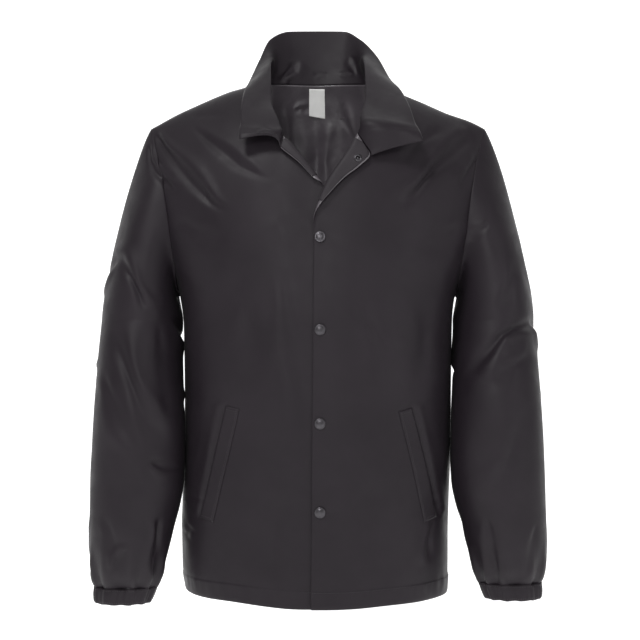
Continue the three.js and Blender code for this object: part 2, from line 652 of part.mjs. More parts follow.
// Sleeve from the armhole's edge down to the cuff
function armholeRing(frontRows, side) {
  const frontEdge = rowNumbers.slice(ARMPIT_ROW).map((row) => frontRows[row].at(-1));
  const backEdge = rowNumbers.slice(ARMPIT_ROW + 1).map((row) => backRows[row].at(side > 0 ? -1 : 0));
  return [...frontEdge.reverse(), ...backEdge.slice(0, -1)];
}

// Angles round the arm, 0 outside and half a turn inside, by the length along the armhole
function ringAngles(ring) {
  const half = ring.length / 2;
  const lengths = ring.map((p, k) => p.distanceTo(ring[(k + 1) % ring.length]));
  const total = (from) => lengths.slice(from, from + half).reduce((a, b) => a + b, 0);
  const angles = [0];
  lengths.slice(0, -1).forEach((length, k) => {
    angles.push(angles[k] + (Math.PI * length) / total(k < half ? 0 : half));
  });
  return angles;
}

function armRing(z, side, angles) {
  const value = (column) => read([...SLEEVE].reverse(), "z", z, column);
  const middle = (value("inner") + value("outer")) / 2;
  const reach = (value("outer") - value("inner")) / 2;
  return angles.map((angle) => {
    const x = middle + reach * Math.cos(angle);
    const lifted = side > 0 ? HANG.arm.left * ramp(-z, HANG.arm.from, HANG.arm.to) : 0;
    return new THREE.Vector3(side * x, value("middle") - value("half") * Math.sin(angle), z + lifted);
  });
}

// Uneven gathers that the elastic draws in, deepest at the cuff
function gathered(ring, angles, depth) {
  const centre = ring.reduce((sum, p) => sum.add(p), new THREE.Vector3()).divideScalar(ring.length);
  return ring.map((p, k) => {
    const uneven = 1.1 * Math.sin(2 * angles[k]) + 0.7 * Math.sin(3 * angles[k]);
    const wave = Math.cos(GATHERS * angles[k] + uneven);
    const outward = p.clone().sub(centre).setZ(0).normalize();
    return p.clone().addScaledVector(outward, depth * wave);
  });
}

function sleeveCap(ring, below, angles, side, t) {
  return ring.map((p, k) => {
    const under = (1 - Math.cos(angles[k])) / 2;
    const span = p.distanceTo(below[k]);
    const out = new THREE.Vector3(side, -0.3 * Math.sin(angles[k]), mix(-1.33, 0.5, under)).normalize();
    const down = new THREE.Vector3(0.05 * side * (1 - under), 0, -1).normalize();
    const pull = span * (0.35 + 0.35 * Math.abs(Math.sin(angles[k])));
    const leave = out.multiplyScalar(mix(pull, 34, under ** 4));
    const arrive = down.multiplyScalar(span * mix(0.7, 1.05, under));
    const t2 = t * t;
    const t3 = t2 * t;
    const made = p.clone().multiplyScalar(2 * t3 - 3 * t2 + 1);
    made.addScaledVector(leave, t3 - 2 * t2 + t);
    made.addScaledVector(below[k], 3 * t2 - 2 * t3);
    return made.addScaledVector(arrive, t3 - t2);
  });
}

function sleeveAndCuff(frontRows, side) {
  const ring = armholeRing(frontRows, side);
  const angles = ringAngles(ring);
  const fine = angles.flatMap((angle, k) => [angle, (angle + (angles[k + 1] ?? 2 * Math.PI)) / 2]);
  const below = armRing(SLEEVE[0].z, side, angles);
  const depthAt = (z) => GATHER_DEPTH * ramp(-z, 645, 702);
  const rings = [ring];
  SLEEVE_CAP_STEPS.forEach((t) => rings.push(sleeveCap(ring, below, angles, side, t)));
  SLEEVE_ROWS.forEach((z) => rings.push(armRing(z, side, angles)));
  GATHER_ROWS.forEach((z) => rings.push(gathered(armRing(z, side, fine), fine, depthAt(z))));
  const cuffRings = CUFF_ROWS.map((z) => {
    const depth = z === CUFF_ROWS[0] ? depthAt(z) : 1.1;
    return gathered(armRing(z, side, fine), fine, depth);
  });
  const axis = (p) => {
    const z = Math.min(p.z, SLEEVE[0].z);
    const [outside, inside] = armRing(z, side, [0, Math.PI]);
    return outside.add(inside).divideScalar(2).setZ(p.z);
  };
  return {
    sleeve: faceOut(sheetOf(rings, true), axis),
    cuff: faceOut(sheetOf(cuffRings, true), axis),
  };
}

const leftArm = sleeveAndCuff(leftRows, 1);
const rightArm = sleeveAndCuff(rightRows, -1);

// Collar from the neckline: each half's front rows, then round the back
const GORGE_ROW = 17;
const GORGE_GAP = 2.2; // open slit between the leaf and the turned front edge
const leftNeck = rowNumbers.slice(GORGE_ROW).map((row) => leftRows[row][0]);
const rightNeck = rowNumbers.slice(GORGE_ROW).map((row) => rightRows[row][0]);
const backNeck = backRows[TOP_ROW].slice(shoulderColumns, shoulderColumns + NECK_COLUMNS - 1);

function sharesFromBack(points) {
  const lengths = points.slice(1).map((p, k) => p.distanceTo(points[k]));
  const total = lengths.reduce((a, b) => a + b, 0);
  let run = 0;
  return [0, ...lengths.map((length) => (run += length) / total)];
}

const middleOfBack = (NECK_COLUMNS - 2) / 2;
const leftSeam = [...backNeck.slice(middleOfBack), ...[...leftNeck].reverse()];
const rightSeam = [...backNeck.slice(0, middleOfBack + 1).reverse(), ...[...rightNeck].reverse()];

// Curve from the neck seam over the roll line to the outer edge, through the three points
function collarPoint(seam, roll, tip, t) {
  const rollAt = seam.distanceTo(roll) / (seam.distanceTo(roll) + roll.distanceTo(tip));
  const first = roll.clone().sub(seam).divideScalar(rollAt);
  const second = tip.clone().sub(roll).divideScalar(1 - rollAt);
  const bend = first.clone().multiplyScalar(1 - rollAt).addScaledVector(second, rollAt);
  const [from, to, span, leave, arrive] =
    t < rollAt
      ? [seam, roll, rollAt, first.clone().multiplyScalar(1.5).addScaledVector(bend, -0.5), bend]
      : [roll, tip, 1 - rollAt, bend, second.clone().multiplyScalar(1.5).addScaledVector(bend, -0.5)];
  const s = (t - (t < rollAt ? 0 : rollAt)) / span;
  const made = from.clone().multiplyScalar(2 * s ** 3 - 3 * s ** 2 + 1);
  made.addScaledVector(leave, span * (s ** 3 - 2 * s ** 2 + s));
  made.addScaledVector(to, 3 * s ** 2 - 2 * s ** 3);
  return made.addScaledVector(arrive, span * (s ** 3 - s ** 2));
}

function collarColumns(seam, table, side) {
  const shares = sharesFromBack(seam);
  return seam.map((p, k) => {
    const value = (column) => read(table, "share", shares[k], column);
    const roll = new THREE.Vector3(side * value("rollX"), value("rollY"), value("rollZ"));
    const tip = new THREE.Vector3(side * value("tipX"), value("tipY"), value("tipZ"));
    const gap = GORGE_GAP * ramp(shares[k], 0.3, 0.66);
    const start = gap / p.distanceTo(tip);
    return COLLAR_ROWS.map((t) => collarPoint(p, roll, tip, Math.max(t, start)));
  });
}

const rightColumns = collarColumns(rightSeam, RIGHT_COLLAR, -1).reverse();
const leftColumns = collarColumns(leftSeam, LEFT_COLLAR, 1);
const collar = sheetOf([...rightColumns, ...leftColumns.slice(1)], false);

const arms = [leftArm.sleeve, rightArm.sleeve, leftArm.cuff, rightArm.cuff];
const folded = [frontLeft, frontRight, back, ...arms];
joinNormals([...folded, collar]);
foldSheets(folded);
joinNormals([...folded, collar]);

// Materials
function cloth(color, roughness) {
  return new THREE.MeshStandardMaterial({ color, roughness, metalness: 0, side: THREE.DoubleSide });
}
const nylon = cloth(0x3a353a, 0.6);
const facingNylon = cloth(0x4a464a, 0.55);
const liningTaffeta = cloth(0x232223, 0.35);
const labelTape = cloth(0xf4f4f2, 0.8);
const gunmetal = new THREE.MeshStandardMaterial({ color: 0x4b4a4c, roughness: 0.35, metalness: 1 });

const jacket = new THREE.Group();
function add(name, geometry, material) {
  const mesh = new THREE.Mesh(geometry, material);
  mesh.name = name;
  jacket.add(mesh);
  return mesh;
}

// Hem casing: the lowest rows stand out by the turned-up cloth
const frontColumns = leftRows[0].length;
const backColumns = backAngles.length;
function hemRaise(columns, clear = 0) {
  return (i) => (Math.floor(i / columns) <= HEM_TOP_ROW && i % columns >= clear ? HEM_RAISE : 0);
}

// Walls of the sewn pieces
const half = SHELL_CLOTH / 2;
function addWall(name, sheet, thickness, inset, raise) {
  add(name, wall(sheet, thickness / 2, -thickness / 2, inset, raise), nylon);
}
addWall("front_left", frontLeft, SHELL_CLOTH, SEAM_GAP / 2, hemRaise(frontColumns));
addWall("front_right", frontRight, SHELL_CLOTH, SEAM_GAP / 2, hemRaise(frontColumns, LAPPED_COLUMNS));
addWall("back", back, SHELL_CLOTH, SEAM_GAP / 2, hemRaise(backColumns));
addWall("sleeve_left", leftArm.sleeve, SHELL_CLOTH, SLEEVE_INSET);
addWall("sleeve_right", rightArm.sleeve, SHELL_CLOTH, SLEEVE_INSET);
addWall("cuff_left", leftArm.cuff, CUFF_CLOTH, CUFF_INSET);
addWall("cuff_right", rightArm.cuff, CUFF_CLOTH, CUFF_INSET);
addWall("collar", collar, COLLAR_CLOTH, COLLAR_INSET);

// Facings of the turned-out edges, and the lining inside the back, on the panels' inner sides
const near = -half - LAYER_GAP;
const far = near - STRIP_CLOTH;
const leftStrip = partOf(frontLeft, frontColumns, 13, 18, 0, FACING_COLUMNS);
const rightStrip = partOf(frontRight, frontColumns, 15, 18, 0, FACING_COLUMNS);
add("facing_left", wall(leftStrip, near, far, FACING_INSET), facingNylon);
add("facing_right", wall(rightStrip, near, far, FACING_INSET), facingNylon);
const liningTo = backColumns - 1 - LINING_COLUMN;
const backLining = partOf(back, backColumns, ARMPIT_ROW, TOP_ROW, LINING_COLUMN, liningTo);
add("lining_back", wall(backLining, near, far, FACING_INSET), liningTaffeta);

// Panel normal by small steps over the torso's surface
function torsoNormal(x, z, line) {
  const step = 2;
  const here = onTorso(x, z, line);
  const beside = onTorso(x + step, z, line).sub(here);
  const above = onTorso(x, z + step, line).sub(here);
  const normal = beside.cross(above).normalize();
  return line === "front" ? normal : normal.negate();
}

// Patch of the torso's surface from functions of two shares
function patch(place, across, along, line) {
  const rows = count(0, along).map((i) =>
    count(0, across).map((j) => {
      const { x, z } = place(j / across, i / along);
      return hung(onTorso(x, z, line));
    }),
  );
  return faceOut(sheetOf(rows, false), bodyAxis);
}

POCKETS.forEach(({ name, side, topX, topZ, bottomX, bottomZ }) => {
  const length = Math.hypot(bottomX - topX, bottomZ - topZ);
  const inX = (bottomZ - topZ) / length;
  const inZ = (topX - bottomX) / length;
  const welt = patch(
    (across, along) => ({
      x: side * (mix(topX, bottomX, along) + across * WELT_WIDTH * inX),
      z: mix(topZ, bottomZ, along) + across * WELT_WIDTH * inZ,
    }),
    2,
    9,
    "front",
  );
  foldSheets([welt]);
  const lift = half + 2 * LAYER_GAP;
  add(name, wall(welt, lift + STRIP_CLOTH, lift), nylon);
});

// Neck label, hanging free inside the lining
const label = patch(
  (across, along) => ({ x: mix(LABEL.left, LABEL.right, across), z: mix(LABEL.bottom, LABEL.top, along) }),
  2,
  3,
  "back",
);
add("neck_label", wall(label, -LABEL.inside, -LABEL.inside - STRIP_CLOTH), labelTape);

// Snap caps: turned discs with a rolled rim and a low dome
function turned(profile) {
  const geometry = new THREE.LatheGeometry(profile.map(([r, z]) => new THREE.Vector2(r, z)), 20);
  return geometry.rotateX(Math.PI / 2);
}

function seat(mesh, point, normal) {
  mesh.quaternion.setFromUnitVectors(new THREE.Vector3(0, 0, 1), normal);
  mesh.position.copy(point);
}

const capProfile = [
  [0, 0],
  [SNAP_RADIUS - 0.6, 0],
  [SNAP_RADIUS, 0.7],
  [SNAP_RADIUS - 0.9, 1.7],
  [SNAP_RADIUS * 0.5, SNAP_HEIGHT - 0.2],
  [0, SNAP_HEIGHT],
];
SNAP_HEIGHTS.forEach((z, k) => {
  const normal = torsoNormal(SNAP_X, z, "front");
  const point = onTorso(SNAP_X, z, "front").addScaledVector(normal, half + LAYER_GAP);
  seat(add("snap_cap_" + (k + 1), turned(capProfile), gunmetal), point, normal);
});

// Open socket of the top snap, on the turned-out facing
const socketProfile = [
  [SOCKET_BORE, 0],
  [SOCKET_RADIUS, 0],
  [SOCKET_RADIUS, 1],
  [SOCKET_RADIUS - 1, 1.8],
  [SOCKET_BORE + 0.6, 1.8],
  [SOCKET_BORE, 1.2],
  [SOCKET_BORE, 0],
];
const socketCell = { row: 16, across: 0.4, along: 0.42 };
const [cellPoints, cellNormals] = [frontLeft.points, frontLeft.ownNormals].map((vectors) =>
  [0, 1, frontColumns, frontColumns + 1].map((v) => vectors[socketCell.row * frontColumns + v].clone()),
);
const socketNormal = cellNormals.reduce((sum, n) => sum.sub(n), new THREE.Vector3()).normalize();
const socketPoint = cellPoints[0].lerp(cellPoints[1], socketCell.across);
socketPoint.lerp(cellPoints[2].lerp(cellPoints[3], socketCell.across), socketCell.along);
socketPoint.addScaledVector(socketNormal, -far + 3 * LAYER_GAP);
seat(add("snap_socket_open", turned(socketProfile), gunmetal), socketPoint, socketNormal);

export default jacket;
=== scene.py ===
import math

import bmesh
import bpy
import numpy as np
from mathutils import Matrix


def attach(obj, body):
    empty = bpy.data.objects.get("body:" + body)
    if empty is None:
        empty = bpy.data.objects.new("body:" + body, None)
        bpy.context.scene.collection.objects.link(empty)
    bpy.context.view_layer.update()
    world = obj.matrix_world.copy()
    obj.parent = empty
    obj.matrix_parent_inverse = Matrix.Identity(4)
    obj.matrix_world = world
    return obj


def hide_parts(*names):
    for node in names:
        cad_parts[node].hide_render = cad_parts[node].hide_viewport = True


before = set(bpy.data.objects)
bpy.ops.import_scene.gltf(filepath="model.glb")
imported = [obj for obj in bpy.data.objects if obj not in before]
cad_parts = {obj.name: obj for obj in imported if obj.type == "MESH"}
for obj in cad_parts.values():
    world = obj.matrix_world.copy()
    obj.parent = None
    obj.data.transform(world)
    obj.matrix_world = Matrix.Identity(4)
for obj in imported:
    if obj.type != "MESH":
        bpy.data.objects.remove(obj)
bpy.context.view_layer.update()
print("frame loaded")

# Surfaces are worked out in millimetres and scaled to metres when a mesh is made.
# The front faces -Y and the wearer's left is +X.
metre = 0.001

# camera at the photograph's angle, first
cameraSet = {"place": (0.003, -2.0, -0.331), "fieldOfView": 25.94}
cameraData = bpy.data.cameras.new("camera")
cameraData.sensor_width = 36
cameraData.lens = 18 / math.tan(math.radians(cameraSet["fieldOfView"] / 2))
camera = bpy.data.objects.new("camera", cameraData)
camera.location = cameraSet["place"]
camera.rotation_euler = (math.radians(90), 0, 0)
bpy.context.scene.collection.objects.link(camera)
bpy.context.scene.camera = camera

# the jacket's cut, the same tables as its solids
roll = 4.0  # radius of the turned-out front edges
quarter = roll * math.pi / 2
flat = quarter
body = {"shoulderY": 5.0, "roundness": 2.4, "underlap": 3.3, "stripStep": 2.5, "stripMargin": 8.0,
        "panelColumns": 9, "top": 23, "armpit": 11, "gorge": 17, "cloth": 1.6, "hemRaise": 0.9}
torso = np.array([(-720, 188), (-600, 190), (-450, 190), (-340, 191.5), (-297, 196.5), (-240, 215),
                  (-180, 232), (-115, 242), (-40, 243.5), (60, 244)])
# drop below the shoulder line, chest depth, back depth
depth = np.array([(0, 0, 0), (3, 14, 13), (8, 25, 24), (16, 38, 37), (28, 53, 51), (45, 70, 66),
                  (65, 86, 79), (90, 101, 91), (120, 113, 102), (160, 124, 112), (210, 132, 119),
                  (270, 138, 124), (340, 143, 127), (460, 145, 127), (730, 143, 127), (830, 143, 127)])
# distance from the middle, then the front's line, the back's line and the back's sewn edge
shoulder = np.array([(-33, 12, 82, 21.8), (0, 12, 93, 22), (33, 12, 82, 21.8), (52, 11.5, 66, 20.5), (68, 11, 46, 18),
                     (80, 10, 20, 13.5), (88, 9, 9, 9), (118, -2, -2, -2), (148, -14, -14, -14),
                     (182, -29, -29, -29), (216, -43, -43, -43), (244, -57.5, -57.5, -57.5)])
armhole = np.array([(-297, 196.5, 196.5), (-291, 197.6, 197.6), (-280, 199.2, 200), (-262, 201, 204),
                    (-240, 203, 210), (-215, 206, 214), (-190, 209, 218), (-160, 213.5, 222.5),
                    (-130, 219.5, 228), (-103, 225.5, 232), (-82, 231.5, 235.5), (-68, 235.5, 237.5),
                    (-55.1, 239, 239)])
rowHeights = [-720, -697, -694.5, -650, -600, -550, -500, -450, -400, -352, -318, -297,
              -291, -280, -262, -240, -215, -190, -160, -130, -103, -82, -68, -55.1]
rowRises = [0] * 11 + [0.04, 0.1, 0.18, 0.28, 0.4, 0.54, 0.68, 0.82, 0.92, 1, 1, 1, 1]
rowTable = np.array([(k, z, rise) for k, (z, rise) in enumerate(zip(rowHeights, rowRises))])
# row, fold line's x and z, cloth turned past its crest, slope
leftEdge = np.array([
    (0, -13, -720, flat, 0), (1, -13, -697, flat, 0), (2, -13, -694.5, flat, 0), (3, -12.5, -645, flat, 0),
    (4, -12, -590, flat, 0), (5, -12, -535, flat, 0), (6, -11.5, -475, flat, 0), (7, -11, -415, flat, 0),
    (8, -10.5, -355, flat, 0), (9, -10, -295, flat, 0), (10, -9.5, -240, flat, 4), (11, -8.5, -214, 5, 12),
    (12, -5, -193, 0, 22), (13, 1.5, -172, -6.5, 30), (14, 9.4, -153, -12.8, 32), (15, 22, -131, -19, 32),
    (16, 35, -112, -26.5, 32), (17, 46.2, -94.4, -31.3, 32), (18, 51, -84, -15, 32), (19, 55, -76, 0, 31),
    (20, 60, -67, flat, 28), (21, 74, -40, flat, 24), (22, 82, -14, flat, 21), (23, 84, 10.5, flat, 20)])
rightEdge = np.array([
    (0, -24, -720, flat, 0), (1, -24, -697, flat, 0), (2, -24, -694.5, flat, 0), (3, -24, -645, flat, 0),
    (4, -24, -590, flat, 0), (5, -24, -535, flat, 0), (6, -24, -475, flat, 0), (7, -24, -415, flat, 0),
    (8, -24, -355, flat, 0), (9, -24, -295, flat, 0), (10, -24, -240, flat, 4), (11, -24, -210, flat, 14),
    (12, -23, -188, flat, 26), (13, -18, -168, flat, 36), (14, -10, -152, 3, 41), (15, 2, -137, -7.3, 41),
    (16, 19, -114, -10.5, 41), (17, 39, -90, -16.3, 41), (18, 44, -84.5, -9, 40), (19, 48, -80, 0, 38),
    (20, 54, -73, flat, 34), (21, 70, -46, flat, 26), (22, 80.5, -18, flat, 22), (23, 84, 10.5, flat, 20)])
# share of the neckline, then the roll line's x, y, z and the outer edge's x, y, z
leftCollar = np.array([
    (-0.12, -32, 93, 66, -38, 98, 104.5), (0, 0, 97, 66, 0, 101, 105.5),
    (0.12, 32, 93, 66, 38, 98, 104.5), (0.25, 60, 74, 64, 64.5, 80, 88),
    (0.36, 68, 42, 56, 88, 48, 56), (0.48, 68, 2, 38, 105, 6, 16), (0.58, 68, -28, 13, 117, -32, -5),
    (0.7, 67, -60, -22, 128, -68, -36), (0.81, 60, -92, -59, 134, -92, -62),
    (0.86, 58, -104, -70, 137, -99, -69), (0.92, 67, -112, -82, 140, -106, -77),
    (1, 82, -114, -104, 143, -112, -88)])
rightCollar = np.array([
    (-0.12, -32, 93, 66, -38, 98, 104.5), (0, 0, 97, 66, 0, 101, 105.5),
    (0.12, 34, 93, 66, 42, 98, 104.5), (0.25, 63, 74, 64, 71.5, 80, 89),
    (0.37, 70, 42, 54, 86, 46, 52), (0.5, 69, 2, 36, 99, 2, 12), (0.62, 67.5, -27, 13, 104, -42, -9),
    (0.76, 66, -60, -24, 106, -79, -40), (0.84, 54, -97, -64, 106, -95, -62),
    (0.9, 49, -107, -76, 107, -104, -71), (0.95, 50, -112, -82, 107, -110, -79),
    (1, 53, -116, -89, 106, -114, -86.5)])
# height, inner and outer x, middle and half of the depth
sleeveTable = np.array([
    (-728, 236, 313.5, -42, 26.5), (-718, 232, 313.5, -42, 27), (-708, 228, 313, -42, 27),
    (-705, 226.5, 312.5, -42, 27), (-699, 224, 314.5, -43, 31), (-690, 220, 316.6, -44, 37),
    (-678, 216.5, 318, -45, 42), (-662, 212.5, 319.2, -46, 46), (-645, 208.5, 320, -47, 49),
    (-620, 203, 319.8, -48, 52), (-590, 195, 319, -48, 54), (-555, 189, 318, -48, 55.5),
    (-510, 187.2, 316.5, -47, 58), (-465, 188.2, 314.5, -43, 62), (-420, 191, 312.5, -33, 66),
    (-375, 193.5, 311, -17, 71), (-331, 195, 309, 0, 76)])


def mix(a, b, share):
    return a + (b - a) * share


def smooth(value, low, high):
    t = np.clip((value - low) / (high - low), 0, 1)
    return t * t * (3 - 2 * t)


def unit(vectors):
    return vectors / np.maximum(np.linalg.norm(vectors, axis=-1, keepdims=True), 1e-9)


# cubic pieces through a table, each slope the harmonic mean of the two beside it, so nothing overshoots
def curve(keys, values, place):
    secant = np.diff(values) / np.diff(keys)
    slope = np.concatenate([secant[:1], np.zeros(len(keys) - 2), secant[-1:]])
    before, after = secant[:-1], secant[1:]
    same = before * after > 0
    slope[1:-1][same] = 2 * before[same] * after[same] / (before[same] + after[same])
    at = np.clip(place, keys[0], keys[-1])
    i = np.clip(np.searchsorted(keys, at), 1, len(keys) - 1)
    span = keys[i] - keys[i - 1]
    t = (at - keys[i - 1]) / span
    value = mix(values[i - 1], values[i], t * t * (3 - 2 * t))
    return value + t * (1 - t) ** 2 * span * slope[i - 1] + t * t * (t - 1) * span * slope[i]


def column(table, place, k):
    return curve(table[:, 0], table[:, k], place)


def halfWidth(z):
    return column(torso, z, 1)


def shoulderZ(x, line):
    return column(shoulder, np.abs(x), line)


# depth kept at a share of the half width: a superellipse
def sectionDepth(share):
    p = body["roundness"]
    return (1 - np.minimum(1, np.abs(share)) ** p) ** (1 / p)


# width kept at an angle round the same superellipse
def sectionWidth(angle):
    p = body["roundness"]
    return np.cos(angle) / (np.abs(np.cos(angle)) ** p + np.abs(np.sin(angle)) ** p) ** (1 / p)


def sectionAngle(share):
    return np.arctan2(sectionDepth(share), share)


# point of the torso at x and z: the shoulder line's y plus the depth at that drop times the section
def onTorso(x, z, face):
    line = 1 if face < 0 else 2
    drop = np.maximum(0, shoulderZ(x, line) - z)
    deep = column(depth, drop, line) * sectionDepth(x / halfWidth(z))
    return np.stack(np.broadcast_arrays(x, body["shoulderY"] + face * deep, z), -1)


def armholeX(z, line):
    return np.where(z > armhole[0, 0], column(armhole, z, line), halfWidth(z))


# How unevenly it hangs: the body swings to the wearer's right towards the hem, the hem rises at the
# sides, the right shoulder sits higher beside the collar, and the left arm hangs shorter.
hang = {"swing": -4.5, "hemRight": 8.0, "hemLeft": 4.5, "tuck": 4.0,
        "shoulderRight": 3.6, "shoulderLeft": -2.8, "leftArm": 6.0}


def hung(points):
    x, z = points[..., 0], points[..., 2]
    out = np.abs(x)
    hump = smooth(out, 92, 132) * (1 - smooth(out, 180, 232)) * smooth(z, -200, -60)
    raised = np.where(x < 0, hang["shoulderRight"], hang["shoulderLeft"]) * hump
    lifted = np.where(x < 0, hang["hemRight"], hang["hemLeft"]) * smooth(out, 10, 130) * smooth(-z, 600, 720)
    swung = hang["swing"] * smooth(-z, 480, 640) * (x / 190) ** 2
    tucked = hang["tuck"] * smooth(-z, 685, 722) * smooth(-x, 110, 190)
    return np.stack([x + swung + tucked, points[..., 1], z + raised + lifted], -1)


# rows of the panels, spaced by height, with every table row among them
def rowSteps(first, last, spacing):
    steps = []
    for k in range(first, last):
        count = math.ceil(abs(rowHeights[k + 1] - rowHeights[k]) / spacing)
        steps.append(np.linspace(k, k + 1, count, endpoint=False))
    return np.concatenate(steps + [np.array([float(last)])])


# cloth rolled over a fold: flat, a half circle over the crest, then flat again two radii higher
def rolled(place):
    angle = math.pi / 2 - np.clip(place, -quarter, quarter) / roll
    reach = roll * (1 - np.sin(angle)) + np.maximum(np.abs(place) - quarter, 0)
    return reach, roll * (1 - np.cos(angle))


# front panel: six lines about the rolled edge, then equal angles round the torso to the outer edge,
# each row bending from level to the shoulder's slope as it rises
def frontGrid(edges, side, rows, columns):
    row = np.asarray(rows, float)[:, None]
    line, lineZ, start, slope = (column(edges, row, k) for k in (1, 2, 3, 4))
    slope = np.radians(slope)
    outerZ, rise = column(rowTable, row, 1), column(rowTable, row, 2)
    outerX = armholeX(outerZ, 1)
    outerDrop = shoulderZ(outerX, 1) - outerZ
    edgeX = line + roll * np.cos(slope)
    edgeDrop = shoulderZ(edgeX, 1) - (lineZ - roll * np.sin(slope))
    places = [start]
    for wanted in (-quarter, -quarter / 3, quarter / 3, quarter, quarter + body["stripMargin"]):
        places.append(np.maximum(wanted, places[-1] + body["stripStep"]))
    places = np.concatenate(places, 1)

    def stripAt(at):
        low = np.minimum(at.astype(int), 4)
        reach, lift = rolled(mix(places[:, low], places[:, low + 1], at - low))
        x = line + reach * np.cos(slope)
        share = (x - edgeX) / (outerX - edgeX)
        bent = shoulderZ(x, 1) - mix(edgeDrop, outerDrop, share)
        z = mix(lineZ - reach * np.sin(slope), bent, smooth(row, 20, 22.5))
        return x, np.where(row >= body["top"], shoulderZ(x, 1), z), lift

    x, z, lift = stripAt(np.clip(columns, 0, 5))
    fromX, fromZ, _ = stripAt(np.array([5.0]))
    fromAngle = sectionAngle(fromX / halfWidth(fromZ))
    toAngle = sectionAngle(outerX / halfWidth(outerZ))
    share = np.clip((columns - 5) / body["panelColumns"], 0, 1)[None, :]
    level = mix(fromZ, outerZ, share)
    panelX = halfWidth(level) * sectionWidth(mix(fromAngle, toAngle, share))
    bent = shoulderZ(panelX, 1) - mix(shoulderZ(fromX, 1) - fromZ, outerDrop, share)
    beyond = (columns > 5)[None, :]
    x = np.where(beyond, panelX, x)
    z = np.where(beyond, mix(level, bent, rise), z)
    points = onTorso(x, z, -1)
    if side < 0:
        points[..., 1] += body["underlap"] * (1 - smooth(x, 10, 48)) * (1 - smooth(z, -150, -100))
    lift = np.where(beyond, 0, lift)
    points[..., 1] -= lift * 0.98
    points[..., 2] += lift * 0.2
    points[..., 0] *= side
    return hung(points)


# back panel: equal angles from side to side, each row bending to the shoulder's slope as it rises
def backGrid(rows, shares):
    row = np.asarray(rows, float)[:, None]
    outerZ, rise = column(rowTable, row, 1), column(rowTable, row, 2)
    outerX = armholeX(outerZ, 2)
    edge = sectionAngle(outerX / halfWidth(outerZ))
    x = halfWidth(outerZ) * sectionWidth(mix(math.pi - edge, edge, shares))
    bent = shoulderZ(x, 3) - (shoulderZ(outerX, 2) - outerZ)
    return hung(onTorso(x, mix(outerZ, bent, rise), 1))


# normal of each grid point, from the differences to its neighbours
def gridNormals(grid, closed=False, outward=None):
    if closed:
        across = np.roll(grid, -1, 1) - np.roll(grid, 1, 1)
    else:
        across = np.gradient(grid, axis=1)
    normals = unit(np.cross(across, np.gradient(grid, axis=0)))
    if outward is not None and np.sum(normals * outward) < 0:
        normals = -normals
    return normals


# length run along rows (axis 1) or down columns (axis 0)
def runAlong(grid, axis):
    steps = np.linalg.norm(np.diff(grid, axis=axis), axis=-1)
    start = np.zeros_like(np.take(steps, [0], axis))
    return np.concatenate([start, np.cumsum(steps, axis)], axis)


# Creases. Each is a line seen from one side (x and z, or y and z from the wearer's left or right),
# a soft trough along it with a ridge on one hand: trough = -depth exp(-(d/width)^2),
# ridge = crest exp(-((d - 1.6 width)/(1.2 width))^2), both tapering to the line's ends.
creaseStrength = 1.3
faceAxis = {"front": (1, -1), "back": (1, 1), "left": (0, 1), "right": (0, -1)}


def creaseHeight(points, normals, creases):
    total = np.zeros(points.shape[:-1])
    for crease in creases:
        axis, sign = faceAxis[crease["face"]]
        facing = np.maximum(0, normals[..., axis] * sign)
        u, z = points[..., 1 - axis], points[..., 2]
        line = np.array(crease["line"], float)
        lengths = np.linalg.norm(np.diff(line, axis=0), axis=1)
        nearest, along, signed = np.full(u.shape, 1e9), np.zeros(u.shape), np.zeros(u.shape)
        for k, length in enumerate(lengths):
            (u1, z1), (u2, z2) = line[k], line[k + 1]
            t = np.clip(((u - u1) * (u2 - u1) + (z - z1) * (z2 - z1)) / length ** 2, 0, 1)
            du, dz = u - mix(u1, u2, t), z - mix(z1, z2, t)
            distance = np.hypot(du, dz)
            closer = distance < nearest
            nearest = np.where(closer, distance, nearest)
            along = np.where(closer, (lengths[:k].sum() + t * length) / lengths.sum(), along)
            signed = np.where(closer, np.sign(du * (z2 - z1) - dz * (u2 - u1)) * distance, signed)
        taper = smooth(along, -0.02, crease.get("fadeIn", 0.22)) * (1 - smooth(along, 0.72, 1.02))
        width = crease["width"] * (0.85 + 0.3 * np.sin(7 * along + u1 * 0.1))
        hand = crease.get("hand", 1)
        trough = -crease["depth"] * np.exp(-(signed / width) ** 2)
        crest = crease.get("crest", 0.4 * crease["depth"])
        ridge = crest * np.exp(-((hand * signed - 1.6 * width) / (1.2 * width)) ** 2)
        total += creaseStrength * facing ** 0.7 * taper * (trough + ridge)
    return total


